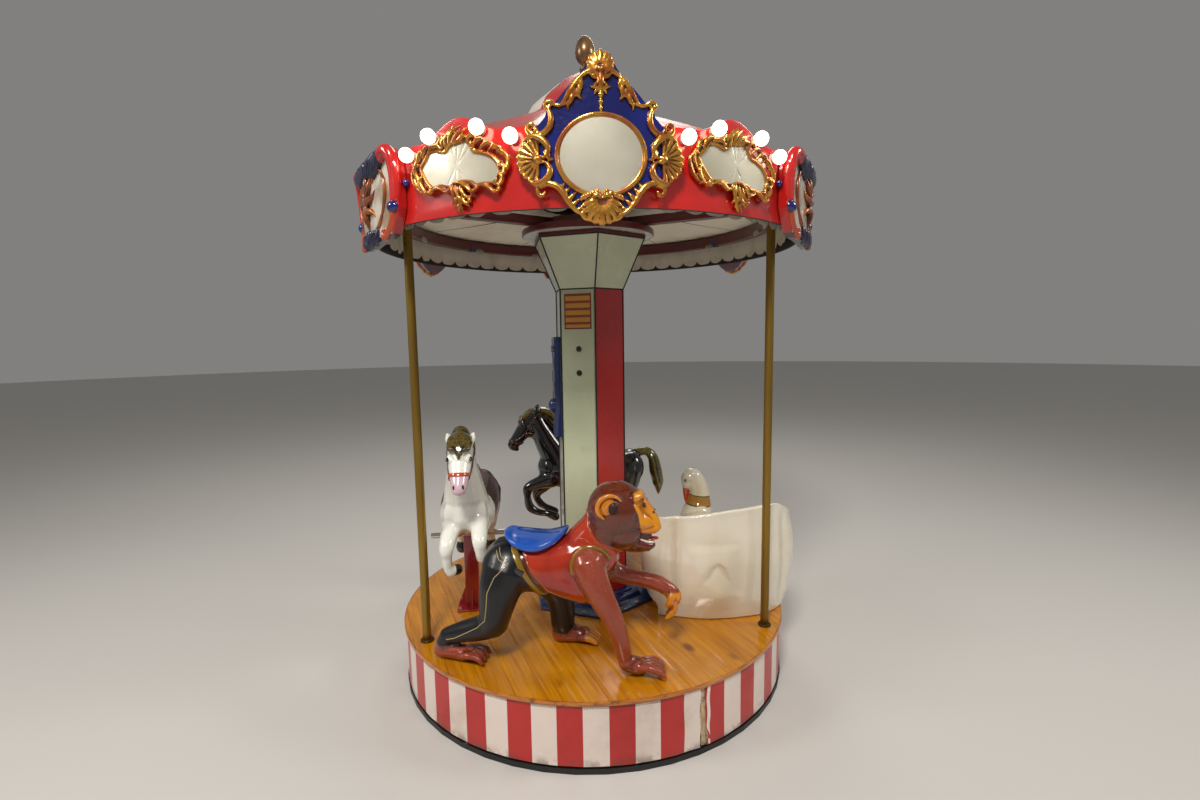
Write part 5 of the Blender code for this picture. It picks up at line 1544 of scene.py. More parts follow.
slots = {"strips": "red_gloss", "rods": "red_gloss", "feathers": "blue_gloss", "relief": "gold_paint"}
SHIELD_OUT, SHIELD_BALL_OUT = 0.9055, 0.9045
for name, lines in parts.items():
    strokes = lines + mirrored(lines)
    piece = bent(hollows(carving("shield_part", strokes, 3.0, share=0.35)), SHIELD_OUT, CENTRE)
    coat(smooth(piece, 60), coats[name])
    for part_copy in turned_copies(piece, f"shield_{name}", SHIELD_TURNS):
        fitted(part_copy, slots[name])
balls = [ball("ball", 32, 20, (side * 0.220, -0.0135, -0.082), (0.0275, 0.0230, 0.0215)) for side in (-1, 1)]
shield_ball = bent(joined("shield_ball", balls), SHIELD_BALL_OUT, CENTRE)
coat(smooth(shield_ball, 60), blue_gloss.material)
for ball_copy in turned_copies(shield_ball, "shield_balls", SHIELD_TURNS):
    fitted(ball_copy, "blue_gloss")

# The horses: two galloping horses of moulded fibreglass, gloss painted, one white with brown and one black.
# Their manes and tails are moulded in strands. Each one sits on a square post.


def placed(piece, radius, angle, turn=0.0):
    """Moves a figure from its own frame, where it looks along X on the floor, to its place on the ride."""
    lone(piece)
    piece.rotation_euler = (0, 0, math.radians(angle + turn))
    piece.location = round_axis(radius, angle, DECK_TOP)
    return settled(piece)


def spots(piece):
    """The places of a piece's points in mm, as along, across and up."""
    places = np.empty(len(piece.data.vertices) * 3)
    piece.data.vertices.foreach_get("co", places)
    return (places.reshape(-1, 3) * 1000).T


def inside(where, strokes, spare):
    """How far each place lies inside the nearest of some limbs, in mm, with some spare round them."""
    places = where.T
    best = np.full(len(places), -1e9)
    for line, radii in strokes:
        path = np.array([in_space(point) for point in line], float)
        sizes = np.interp(np.linspace(0, 1, len(path)), np.linspace(0, 1, len(radii)), radii)
        for start, end, first, last in zip(path, path[1:], sizes, sizes[1:]):
            run = end - start
            share = np.clip((places - start) @ run / (run @ run), 0, 1)
            far = np.linalg.norm(places - start - share[:, None] * run, axis=1)
            best = np.maximum(best, first + (last - first) * share - far)
    return best + spare


def marked(piece, **areas):
    """Stores painted areas on the points of a piece: positive inside an area, in mm from its edge."""
    for name, value in areas.items():
        piece.data.attributes.new(name, "FLOAT", "POINT").data.foreach_set("value", value)


def edged(finish, name, soft=0.35, at=0.0):
    """1 inside a painted area and 0 outside it."""
    return finish.node("Attribute", {"attribute_name": name}, output="Fac").between(at - soft, at + soft)


def lumps(*balls):
    """Round lumps: each has its place (along, up, out) and its half sizes (along, up, across), in mm."""
    made = []
    for (along, up, out), (long, high, wide) in balls:
        place = (along * MM, -out * MM, up * MM)
        made.append(ball("lump", 32, 20, place, (long * MM, wide * MM, high * MM)))
    return made


def figure(name, strokes, balls=(), fine=(), extra=(), voxel=3.6, blend=13, web=3):
    """A moulded figure: limbs and lumps melted into one soft skin, and then its fine strokes on top.

    They are made too big and shrunk again, which fills the creases between them.
    """
    swollen = [(line, [size + blend for size in radii]) for line, radii in strokes]
    swollen_balls = [(place, [size + blend for size in sizes]) for place, sizes in balls]
    whole = joined(name, [carving(name, swollen, 6, 0), *lumps(*swollen_balls)])
    modified(whole, "REMESH", mode="VOXEL", voxel_size=5 * MM)
    modified(whole, "SMOOTH", factor=0.5, iterations=5)
    modified(whole, "DISPLACE", strength=(web - blend) * MM, mid_level=0)
    if fine:
        swollen = [(line, [size + web for size in radii]) for line, radii in fine]
        whole = joined(name, [whole, carving(name, swollen, voxel * 0.8, 0)])
    whole = joined(name, [whole, *extra])
    modified(whole, "REMESH", mode="VOXEL", voxel_size=voxel * MM)
    modified(whole, "SMOOTH", factor=0.5, iterations=3)
    if web:
        modified(whole, "DISPLACE", strength=-web * MM, mid_level=0)
        modified(whole, "SMOOTH", factor=0.5, iterations=1)
    return hollows(smooth(whole, 60), 4)


def both(line, radii):
    """A stroke and its mirror image on the other side."""
    return [(line, radii), ([(point[0], point[1], -point[2]) for point in line], radii)]


def tufts(line, spread, radius, count):
    """Strands of hair that run along a line, side by side over a half round."""
    strands = []
    for number in range(count):
        lean = math.asin(2 * (number + 0.5) / count - 1)
        strand = []
        for index, (along, up) in enumerate(line):
            before, after = line[max(0, index - 1)], line[min(len(line) - 1, index + 1)]
            run = Vector((after[0] - before[0], after[1] - before[1])).normalized()
            lift = spread[index] * math.cos(lean) * 0.55
            sway = 2.4 * math.sin(index * 1.9 + number * 2.3)
            strand.append((along - run.y * lift, up + run.x * lift, spread[index] * math.sin(lean) + sway))
        strands.append((strand, [radius * 0.6, radius, radius, radius * 0.5]))
    return strands


def seam(body, line, radius, lift=0.0, steps=6):
    """Piping on a figure's skin: points (along, up, side) are laid on the skin from that side."""
    dense = []
    for start, end in zip(line, line[1:]):
        dense += [tuple(Vector(start).lerp(Vector(end), step / steps)) for step in range(steps)]
    laid = []
    for along, up, side in [*dense, line[-1]]:
        outside_place, inwards = Vector((along * MM, -side, up * MM)), Vector((0, side, 0)).normalized()
        found, spot, normal, _ = body.ray_cast(outside_place, inwards)
        if found:
            spot = (spot + normal * lift * MM) * 1000
            laid.append((spot.x, spot.z, -spot.y))
    return carving("seam", [(laid, [radius, radius])], max(1.1, radius * 0.45), 1, share=0.4)


def hoop(body, centre, across, width, thickness, sizes):
    """A flat strap round a body, square to a direction (along, up), between two distances from the centre."""
    middle = Vector((centre[0], 0, centre[1])) * MM
    away = Vector((across[0], 0, across[1])).normalized()
    upwards = Vector((0, 1, 0)).cross(away)
    free()
    bpy.ops.mesh.primitive_cylinder_add(vertices=72, radius=1, depth=1, end_fill_type="NOTHING")
    strap = settled(added("strap"))
    for point in strap.data.vertices:
        turn = math.atan2(point.co.y, point.co.x)
        out = upwards * math.cos(turn) + Vector((0, 1, 0)) * math.sin(turn)
        side = away * width / 2 * MM * (1 if point.co.z > 0 else -1)
        found, spot, _, _ = body.ray_cast(middle + side, out)
        reach = (spot - middle - side).length * 1000 if found else sizes[0]
        point.co = middle + side + out * (min(max(reach, sizes[0]), sizes[1]) + 1.2) * MM
    modified(strap, "SMOOTH", factor=0.5, iterations=4)
    modified(strap, "SOLIDIFY", thickness=thickness * 2 * MM, offset=0)
    modified(strap, "BEVEL", width=thickness * 0.3 * MM, segments=2, limit_method="ANGLE")
    return smooth(strap, 50)


mane_line = [(70, 598), (112, 662), (160, 728), (205, 778), (248, 790), (290, 782)]
tail_line = [(-262, 548), (-322, 560), (-362, 526), (-378, 452), (-392, 380), (-394, 322)]
hair = [(mane_line, [20, 30, 34, 34, 30, 30]), (tail_line, [24, 24, 28, 36, 32, 8])]
hair += tufts(mane_line, [22, 34, 40, 42, 40, 40], 9, 13) + tufts(tail_line, [18, 24, 32, 42, 36, 4], 8, 10)
FORE_LEGS = {
    "white_horse": [
        ([(195, 440, -50), (270, 440, -58), (332, 408, -62), (338, 372, -64), (324, 344, -72)],
         [50, 36, 29, 20, 26], [(318, 338, -76), (302, 330, -90)]),
        ([(190, 430, 55), (262, 424, 58), (320, 386, 66), (319, 346, 66), (310, 308, 64), (300, 286, 54)],
         [50, 36, 29, 20, 19, 24], [(296, 284, 46), (288, 286, 32)]),
    ],
    "black_horse": [
        ([(195, 432, -56), (265, 414, -62), (326, 385, -64), (328, 335, -64), (316, 282, -64),
          (276, 254, -64), (232, 244, -64)],
         [50, 34, 26, 19, 24, 19, 16], [(222, 244, -64), (180, 224, -64)]),
        ([(190, 420, 60), (240, 368, 64), (284, 324, 66), (286, 298, 66), (264, 262, 66), (238, 244, 66)],
         [50, 38, 26, 20, 21, 17], [(230, 238, 66), (186, 214, 66)]),
    ],
}


def horse_paint(name, base, shaded, hair, hair_shade_and_streaks, hoof, muzzle):
    """Gloss paint by areas: the coat with its patch, the hair, the hoofs and the muzzle, with painted shade in
    the hollows of the coat and between the strands of hair.
    """
    hide = Finish(name, coat_weight=1.0, coat_roughness=0.05)
    hollow = hide.hollow(0.50, 0.66)
    strokes = hide.noise(120, hide.moved(size=(1, 1, 0.3)), detail=3)
    patch = hide.mix(strokes.between(0.44, 0.6), colour(78, 32, 18), colour(28, 12, 10))
    # Painted shade: the coat turns to its shaded colour in the hollows of the moulding.
    shade = hide.mix(edged(hide, "patch", 2.5), hide.mix(hollow * 0.25, base, shaded), patch)
    shade = hide.mix(edged(hide, "muzzle", 5.0), shade, muzzle)
    # The hair is dark in painted shade between its strands, and in streaks along them.
    strands = hide.mix((hollow * 1.5 + strokes.between(0.44, 0.58) * 0.8).least(1.0), hair, hair_shade_and_streaks)
    shade = hide.mix(edged(hide, "hair", 1.5), shade, strands)
    hide.feed(base_color=hide.mix(edged(hide, "hoof", 0.8), shade, hoof))
    hide.feed(roughness=hide.noise(9, detail=4) * 0.12 + 0.10 + edged(hide, "patch", 2.5) * 0.25)
    hide.feed(coat_weight=1 - edged(hide, "patch", 2.5) * 0.8)
    hide.bump(hide.noise(11, detail=4) * 0.8 + strokes * 0.2, 0.0015)
    return hide.material


def horse(name, place, rise, finish, strap_paint):
    """One horse, with its bridle, its eyes and its nostrils. The rise lifts its muzzle."""
    muzzle, bridge = (402, 612 + rise), (342, 690 + rise / 2)
    strokes = [
        *both([(-205, 472, 24), (-90, 466, 26), (10, 460, 24), (120, 464, 15), (190, 486, 0)],
              [97, 101, 100, 98, 84]),
        ([(150, 520, 0), (205, 610, 0), (248, 690, 0), (272, 745, 0)], [94, 76, 60, 50]),
        ([(282, 765, 0), (*bridge, 0), (*muzzle, 0)], [52, 44, 31]),
        *both([(-215, 462, 48), (-206, 388, 60), (-176, 326, 66)], [86, 68, 44]),
        *both([(-174, 328, 66), (-226, 300, 68), (-264, 274, 70), (-284, 238, 70)], [43, 33, 27, 23]),
    ]
    balls = [((-238, 478, 42), (70, 90, 68)), ((-238, 478, -42), (70, 90, 68)), ((206, 490, 0), (58, 76, 88))]
    balls += [((306, 704 + rise / 3, side), (44, 50, 32)) for side in (-15, 15)]
    crown = [([(206, 776 + rise * 0.5, 0), (256, 788 + rise * 1.1, 0)], [30, 35])]
    for side in (-40, -31, -21, -10, 1, 12, 23, 33, 41):
        off = abs(side)
        lock = [(258, 804 + rise - off * 0.5, side * 0.35), (306, 798 + rise * 0.9 - off * 0.4, side * 0.8)]
        lock.append((348, 766 + rise * 0.6 - off * 0.1, side * 0.85))
        lock.append((373 - off * 0.2, 733 + rise * 0.5 + off * 0.9, side * 0.6))
        crown.append((lock, [13, 13, 11, 2.5]))
    fine = [*hair, *crown, ([(402, 608 + rise, 0), (396, 598 + rise, 0), (384, 590 + rise, 0)], [29, 22, 14])]
    fine += both([(276, 786, 34), (272, 806, 45), (264, 822, 50)], [15, 15, 7])
    fine += both([(-282, 242, 70), (-296, 206, 70), (-302, 186, 70)], [24, 22, 25])
    fine += both([(338, 736 + rise / 3, 33), (350, 728 + rise / 3, 30)], [15, 13])
    hoofs = [([(-300, 186, side), (-299, 166, side)], [27, 31]) for side in (-70, 70)]
    for line, radii, hoof in FORE_LEGS[name]:
        strokes.append((line[:4], radii[:4]))
        fine.append((line[2:], radii[2:]))
        hoofs.append((hoof, [19, 23]))
    body = figure(name + "_body", strokes, balls, [*fine, *hoofs])
    where = spots(body)
    along, across, up = where
    hairy = (along < -262) | (up > 592 + 0.45 * np.abs(along - 70))
    drift = 20 * np.sin(along * 0.024 + 1.1) + 14 * np.sin(up * 0.03 + across * 0.02)
    patch = np.minimum(112 - along + drift, up - 425 + 0.6 * drift)
    marked(
        body,
        hair=np.where(hairy, inside(where, [*hair, *crown], 5.0), -20.0),
        hoof=inside(where, hoofs, 0.8),
        muzzle=np.where(up > 540, (along - (up - rise) * 0.72 + 76) * 0.8, -40.0),
        patch=patch if name == "white_horse" else np.full(len(up), -50.0),
    )
    coat(body, finish)
    noseband = hoop(body, (366, 684) if rise else (388, 630), (0.25, -0.97), 27, 3.5, (29, 54))
    coat(noseband, strap_paint)
    cheeks = [(384, 640 + rise), (342, 668 + rise), (304, 722 + rise / 2), (272, 772)]
    straps = [seam(body, [(*point, side) for point in cheeks], 4.0, 0.5) for side in (1, -1)]
    bridle = smooth(joined(name + "_bridle", straps), 50)
    coat(bridle, brown_strap)
    dots = []
    for side in (-1, 1):
        dots += lumps(((352, 730 + rise / 3, side * 43), (11, 9, 7)))
        dots += lumps(((424, 620 + rise, side * 17), (5, 9, 4)))
    eyes = smooth(joined(name + "_eyes", dots), 60)
    coat(eyes, eye_black)
    fitted(placed(noseband, *place), "dark_red_steel")
    fitted(placed(bridle, *place), "dark_red_steel")
    fitted(placed(eyes, *place), "black_gloss")
    modified(body, "DECIMATE", ratio=0.36)
    fitted(placed(body, *place), "white_gloss" if rise else "black_gloss", name)


eye_black = paint("eye_black", colour(8, 7, 8), 0.08, 0.0, 1.0, colour(40, 30, 30), 0.2)
orange_strap = paint("orange_strap", colour(200, 66, 26), 0.2, 0.0, 0.9, colour(120, 40, 20), 0.3, 50)
brown_strap = paint("brown_strap", colour(76, 22, 18), 0.25, 0.0, 0.9, colour(150, 90, 50), 0.3, 50)
white_hide = horse_paint(
    "white_hide", base=colour(240, 240, 230), shaded=colour(150, 148, 136), hair=colour(96, 80, 28),
    hair_shade_and_streaks=colour(22, 18, 10), hoof=colour(14, 13, 14), muzzle=colour(216, 184, 196),
)
black_hide = horse_paint(
    "black_hide", base=colour(9, 9, 14), shaded=colour(4, 4, 6), hair=colour(124, 108, 16),
    hair_shade_and_streaks=colour(26, 21, 6), hoof=colour(12, 10, 11), muzzle=colour(10, 9, 11),
)
WHITE_PLACE, BLACK_PLACE = (0.556, -79.6, -6), (0.510, 180, 0)
horse("white_horse", WHITE_PLACE, 30, white_hide, orange_strap)
horse("black_horse", BLACK_PLACE, 0, black_hide, brown_strap)

# The posts: square red steel tubes, each welded to a bolted foot plate with gussets.
# A bright chrome tube runs across under each horse, for the feet.
red_steel = paint("red_steel", colour(150, 16, 20), 0.22, 0.0, 0.8, colour(70, 30, 26), 0.4, 40, 0.0006)
chrome = Finish("chrome", metallic=1.0)
chrome.feed(base_color=chrome.mix(chrome.noise(20), colour(222, 220, 214), colour(196, 194, 188)))
chrome.feed(roughness=chrome.noise(40, detail=4) * 0.14 + 0.05)
for name, place in (("white_horse", WHITE_PLACE), ("black_horse", BLACK_PLACE)):
    steel = []
    for half, low, high, edge in ((0.030, 0.005, 0.440, 0.005), (0.065, 0.0003, 0.008, 0.0018)):
        part = box_between("post", (-half, -half, low), (half, half, high))
        steel.append(modified(part, "BEVEL", width=edge, segments=4))
    for turn in (0, 90, 180, 270):
        gusset = block("gusset", (0.046, 0, 0.046), (0.036, 0.006, 0.078))
        chosen(gusset, "VERT", lambda place, normal: place.x > 0.05 and place.z > 0.03)
        bpy.ops.transform.translate(value=(-0.030, 0, 0))
        bpy.ops.object.mode_set(mode="OBJECT")
        steel.append(brought_round(gusset, turn))
    post = smooth(joined(name + "_steel_post", steel), 30)
    fitted(placed(coat(post, red_steel), *place), "red_gloss", name + "_post")
    bright = []
    for side in (-1, 1):
        for ahead in (-1, 1):
            nut = rod("nut", 6, 0.0085, 0.009, (ahead * 0.050, side * 0.050, 0.0125))
            bright.append(modified(nut, "BEVEL", width=0.0009, segments=2, limit_method="ANGLE"))
    tube = rod("tube", 40, 0.0115, 0.330, (0.036, 0, 0.344), ALONG_Y)
    bright.append(modified(tube, "BEVEL", width=0.004, segments=3, limit_method="ANGLE", angle_limit=1.0))
    footrest = smooth(joined(name + "_footrest", bright), 30)
    fitted(placed(coat(footrest, chrome.material), *place), "red_gloss")

# The monkey: a moulded fibreglass monkey that crawls along with one hand lifted, in a red waistcoat and
# dark trousers. It is gloss painted, with amber hands, ears and face, and an open mouth with its tongue
# out.
MONKEY_ANGLE = -12.8
MONKEY_PLACE = (0.594, MONKEY_ANGLE)
planted_arm = ([(102, 398, 78), (126, 352, 100), (158, 288, 107), (194, 212, 102), (216, 130, 86),
                (226, 70, 76)], [62, 53, 45, 36, 32, 28])
raised_arm = ([(100, 398, -78), (140, 330, -104), (178, 294, -116), (255, 278, -122), (330, 262, -120),
               (372, 240, -118)], [60, 46, 36, 31, 31, 29])
near_leg = ([(-205, 352, 50), (-224, 292, 72), (-240, 214, 78), (-252, 162, 72)], [92, 78, 62, 54])
near_shin = ([(-248, 162, 72), (-300, 138, 66), (-376, 112, 56), (-444, 90, 50)], [52, 47, 40, 30])
far_leg = ([(-190, 345, -52), (-120, 285, -92), (-62, 208, -120), (-44, 140, -126), (-42, 70, -127)],
           [88, 72, 55, 50, 47])
feet = [([(-474, 30, 48), (-420, 30, 54), (-372, 28, 56)], [26, 27, 30]),
        ([(-54, 32, -128), (-6, 34, -130), (34, 32, -131)], [34, 33, 31])]
ankle = ([(-440, 88, 50), (-458, 60, 48), (-470, 34, 48)], [31, 29, 27])
toes, fingers, palms = [], [], []
for across in (-27, -9, 9, 27):
    fingers.append(([(276, 40, 66 + across * 0.8), (320, 44, 66 + across * 1.1), (352, 34, 66 + across * 1.2),
                     (366, 16, 66 + across * 1.2)], [13, 13, 12, 9]))
    palms.append(([(392, 200, -118 + across * 0.9), (396, 176, -118 + across * 0.9),
                   (384, 154, -118 + across * 0.85), (366, 136, -118 + across * 0.8)], [14, 13, 12, 7]))
    toes.append(([(-376, 30, 56 + across), (-340, 36, 56 + across * 1.25), (-308, 30, 56 + across * 1.45),
                  (-294, 14, 56 + across * 1.5)], [12, 12, 11, 8]))
    toes.append(([(36, 30, -131 + across), (66, 28, -131 + across * 1.1), (94, 14, -131 + across * 1.15)],
                 [14, 13, 9]))
toes += [([(-400, 26, 30), (-366, 22, 6), (-338, 14, 2)], [14, 13, 8]),
         ([(0, 28, -162), (44, 24, -178), (78, 14, -176)], [15, 14, 9])]
fingers += [([(236, 34, 50), (262, 24, 34), (290, 14, 32)], [15, 14, 9])]
palms += [([(384, 226, -94), (378, 204, -82), (366, 184, -86)], [14, 13, 8]),
          ([(378, 238, -118), (392, 216, -118), (392, 196, -118)], [28, 30, 25])]
mouth = [
    ([(256, 616, 0), (292, 574, 0), (320, 540, 0)], [40, 36, 29]),
    *both([(250, 556, 26), (286, 546, 20), (316, 534, 10)], [44, 36, 26]),
    ([(288, 520, 32), (322, 519, 22), (337, 522, 0), (322, 519, -22), (288, 520, -32)], [15, 16, 17, 16, 15]),
    ([(236, 474, 0), (272, 458, 0), (302, 450, 0)], [48, 35, 21]),
    ([(262, 490, 0), (304, 488, 0)], [26, 17]),
    ([(270, 466, 27), (306, 456, 18), (320, 455, 0), (306, 456, -18), (270, 466, -27)], [15, 13, 13, 13, 15]),
    ([(254, 632, 46), (274, 634, 20), (274, 634, -20), (254, 632, -46)], [17, 17, 17, 17]),
    *both([(254, 606, 56), (272, 584, 50), (282, 560, 44)], [16, 15, 13]),
]
monkey = figure(
    "monkey_body",
    [
        ([(-205, 370, 0), (-130, 362, 0), (-40, 364, 0), (40, 378, 0), (95, 402, 0)],
         [98, 100, 99, 104, 104]),
        *both([(-70, 350, 28), (20, 332, 40), (94, 312, 46)], [70, 66, 60]),
        ([(90, 440, 0), (130, 490, 0), (170, 535, 0)], [88, 80, 84]),
        planted_arm, raised_arm, near_leg, near_shin, far_leg,
    ],
    [
        ((192, 580, 0), (104, 104, 98)),
        ((212, 506, 0), (78, 70, 78)),
        ((102, 408, 60), (70, 66, 58)),
        ((102, 408, -60), (70, 66, 58)),
        ((-204, 358, 46), (94, 98, 80)),
        ((-200, 358, -46), (94, 98, 80)),
    ],
    [
        *mouth, *feet, *toes, *fingers, *palms,
        ([(230, 60, 75), (240, 46, 73), (276, 36, 68)], [29, 32, 30]), ankle,
    ],
)
hem = [
    (-150, 470), (-134, 436), (-100, 372), (-40, 300), (16, 274), (104, 252), (112, 262), (124, 300),
    (150, 345), (176, 380), (196, 392),
]
collar = [(60, 640), (92, 592), (108, 530), (136, 492), (172, 468), (204, 456), (218, 452), (240, 430)]
where = spots(monkey)
along, across, up = where
arms = inside(where, [planted_arm, raised_arm], 5.0)
shoulders = np.maximum(arms, 61 - np.hypot(along - 112, up - 404))
arms = np.where((np.abs(across) > 60) & (up < 480), shoulders, arms)
legs = inside(where, [near_leg, near_shin, far_leg], 16.0)
foot = inside(where, feet, 3.0)
waist = -(0.867 * (along + 172) + 0.498 * (up - 455)) - 8
above_hem = up - np.interp(along, *zip(*hem))
below_collar = np.interp(along, *zip(*collar)) - up - 12 * (1 - np.minimum(1, np.abs(across) / 70))
vest = np.minimum.reduce([above_hem, below_collar, 212 - along + 0.2 * (up - 400), -arms])
cuff = np.where(along > -250, up - 48, up - 57 + 0.05 * (along + 440))
trousers = np.minimum(np.where(up > 215, np.maximum(waist, np.minimum(legs, 250 - up)), legs), cuff)
trousers = np.where((up < 80) & (along > -60), np.minimum(trousers, -foot), trousers)
face_edge = np.interp(up, [495, 517, 545, 581, 608, 640], [286, 280, 277, 271, 258, 256])
face = np.minimum.reduce([along - face_edge - 0.10 * np.abs(across), up - 497, 652 - up, 70 - np.abs(across)])
low_palms = np.minimum(inside(where, fingers, 4.0), 22 - up + 0.35 * (across + 92))
raised_palm = np.minimum(inside(where, palms, 5.0), 236 - up)
soles = np.minimum(inside(where, toes, 4.0), along - 52)
marked(
    monkey,
    waistcoat=vest,
    trousers=trousers,
    face=face,
    palm=np.maximum.reduce([low_palms, raised_palm, soles]),
    mouth=np.minimum.reduce([along - 268, 508 - up, up - 456, 34 - np.abs(across)]),
    arm=inside(where, [planted_arm, raised_arm, *feet, *toes, *fingers], 8.0),
)
lift = np.clip(vest / 3, 0, 1) * 3.2 * MM
shape = where.T * MM
normals = np.empty(shape.size)
monkey.data.vertices.foreach_get("normal", normals)
monkey.data.vertices.foreach_set("co", (shape + normals.reshape(-1, 3) * lift[:, None]).ravel())
monkey.data.update()
fur = Finish("monkey_paint", coat_weight=1.0, coat_roughness=0.05)
hollow = fur.hollow(0.50, 0.64)
hairs = fur.noise(120, fur.moved(turn=MONKEY_ANGLE, size=(0.35, 1, 1)), detail=3, roughness=0.6)
brown = fur.mix(hairs.between(0.44, 0.62) * 0.5, colour(104, 38, 14), colour(50, 16, 8))
ruddy = fur.mix(hairs.between(0.45, 0.7) * 0.35, colour(150, 54, 20), colour(92, 28, 12))
layers = fur.mix(edged(fur, "arm", 4), brown, ruddy)
# Painted shade: the fur is much darker in the hollows of the moulding.
layers = fur.mix(hollow * 0.5, layers, colour(36, 14, 10))
amber = fur.mix(fur.noise(18, detail=4).between(0.35, 0.7), colour(226, 146, 8), colour(204, 112, 6))
# Painted shade in the hollows of the amber parts too.
amber = fur.mix(hollow * 0.6, amber, colour(120, 50, 10))
layers = fur.mix(edged(fur, "palm", 4), layers, amber)
layers = fur.mix(edged(fur, "face", 3), layers, amber)
red = fur.mix(fur.noise(6, detail=4).between(0.35, 0.7), colour(176, 44, 10), colour(138, 26, 8))
layers = fur.mix(edged(fur, "waistcoat"), layers, red)
navy = fur.mix(fur.noise(8, detail=5).between(0.5, 0.8) * 0.4, colour(5, 6, 16), colour(18, 14, 18))
layers = fur.mix(edged(fur, "trousers"), layers, navy)
fur.feed(base_color=fur.mix(edged(fur, "mouth", 2), layers, colour(96, 14, 8)))
fur.feed(roughness=fur.noise(12, detail=5) * 0.14 + 0.11 + edged(fur, "trousers") * 0.2)
fur.feed(coat_weight=0.75 - edged(fur, "trousers") * 0.6)
bare = 1 - edged(fur, "waistcoat").most(edged(fur, "trousers"))
grit = fur.noise(190, detail=4).between(0.46, 0.7) * edged(fur, "arm", 4)
fur.bump((hairs * 0.45 + grit * 0.7) * bare + fur.noise(9, detail=4) * 0.5, 0.0017)
coat(monkey, fur.material)

# The monkey's trims: amber piping on the waistcoat, olive gold armholes and belt, cream piping on the
# trousers. They are raised in the moulding and painted by hand.
amber_trim = paint("amber_trim", colour(176, 84, 24), 0.2, 0.1, 0.9, colour(110, 50, 20), 0.3, 50)
olive_gold = paint("olive_gold", colour(136, 104, 8), 0.2, 0.15, 0.9, colour(70, 52, 14), 0.3, 40)
cream_line = paint("cream_line", colour(184, 160, 104), 0.3, 0.0, 0.7, colour(110, 90, 60), 0.3, 60)
trims, golds, creams = [], [], []
for side in (1, -1):
    turns = [math.radians(turn) for turn in range(-25, 166, 10)]
    armhole = [(112 - 65 * math.cos(turn), 404 + 65 * math.sin(turn)) for turn in turns]
    outer = [(-177, 406), (-222, 360), (-247, 306), (-253, 251), (-264, 197), (-302, 158)]
    outer += [(-401, 100), (-436, 88)]
    if side < 0:
        outer = [(-172, 400), (-140, 330), (-96, 262), (-60, 205), (-46, 140), (-42, 64)]
    for group, line, *settings in (
        (trims, [(along + 1, up + 2) for along, up in hem[1:6]], 2.6),
        (trims, [(106, 256), (112, 276), (116, 290)], 2.2),
        (trims, [(96, 574), (102, 536), (114, 508), (144, 478), (204, 448), (211, 430)], 2.0),
        (trims, [(70, 492), (88, 494), (107, 484), (143, 456), (182, 436)], 1.4),
        (golds, armhole, 7.5, -2.5, 2),
        (creams, outer, 1.9),
        (creams, [(-228, 440), (-212, 416), (-194, 408), (-182, 407)], 1.6),
        (creams, [(-220, 448), (-206, 426), (-190, 418), (-178, 417)], 1.4),
    ):
        group.append(seam(monkey, [(*point, side) for point in line], *settings))
golds.append(hoop(monkey, (-122, 366), (0.867, 0.498), 37, 7.0, (95, 130)))
buckles = []
for side in (1, -1):
    place = (-0.140, -side * 0.1085, 0.375)
    buckle = block("buckle", place, (0.035, 0.014, 0.022), (0, math.radians(30), 0))
    buckles.append(modified(buckle, "BEVEL", width=0.003, segments=3))
for name, pieces, finish, slot in (
    ("waistcoat_trims", trims, amber_trim, "brown_fur"),
    ("belt_and_armholes", golds, olive_gold, "gold_paint"),
    ("trouser_piping", creams, cream_line, "cream_paint"),
    ("belt_buckles", buckles, eye_black, "black_gloss"),
):
    trim = smooth(joined(name, pieces), 50)
    fitted(placed(coat(trim, finish), *MONKEY_PLACE), slot)

# The monkey's ears, eyes, teeth and tongue: small mouldings glued to the head and painted.
# The ears are thick amber rims, open to the front, round a dark hollow.
ear_amber = paint("ear_amber", colour(214, 128, 8), 0.15, 0.0, 1.0, colour(120, 60, 16), 0.3, 40, 0.0006)
ear_dark = paint("ear_dark", colour(38, 14, 8), 0.55, 0.0, 0.1, colour(90, 40, 22), 0.5, 60, 0.0006)
tongue_red = paint("tongue_red", colour(188, 44, 30), 0.12, 0.0, 1.0, colour(150, 30, 30), 0.3)
tooth_white = paint("tooth_white", colour(222, 216, 200), 0.12, 0.0, 1.0, colour(180, 170, 140), 0.3)
rims, bowls, holes, dots = [], [], [], []
for side in (1, -1):
    rim = [(222, 632, 84), (206, 647, 90), (184, 654, 96), (158, 644, 101), (142, 618, 104), (146, 592, 104),
           (162, 574, 98)]
    rims.append(([(along, up, out * side) for along, up, out in rim], [3, 6, 8, 8.5, 8.5, 8, 5]))
    rims.append(([(184, 628, 98 * side), (172, 612, 101 * side), (176, 596, 98 * side)], [3, 5, 3]))
    bowls += lumps(((172, 613, 86 * side), (30, 36, 14)))
    holes += lumps(((193, 608, 92 * side), (19, 22, 11)))
    dots += lumps(((296, 608, side * 32), (7, 8, 8)), ((288, 628, side * 33), (5, 3.5, 9)))
    dots += lumps(((326, 578, side * 15), (5, 5, 4.5)))
ears = hollows(smooth(joined("monkey_ears", [carving("ears", rims, 2.4, 3), *bowls]), 60))
tongue_line = [(268, 468, 0), (300, 472, 0), (328, 480, 0), (344, 480, 0)]
tongue = figure("monkey_tongue", [(tongue_line, [10, 10, 9, 6])], voxel=2.2, blend=2)
tongue.scale = (1, 1.9, 1)
teeth = [
    ([(284, 482, 30), (306, 472, 22), (322, 467, 8), (322, 467, -8), (306, 472, -22), (284, 482, -30)],
     [4, 5, 5.5, 5.5, 5, 4]),
    ([(318, 505, 18), (330, 504, 7), (330, 504, -7), (318, 505, -18)], [4, 4.5, 4.5, 4]),
]
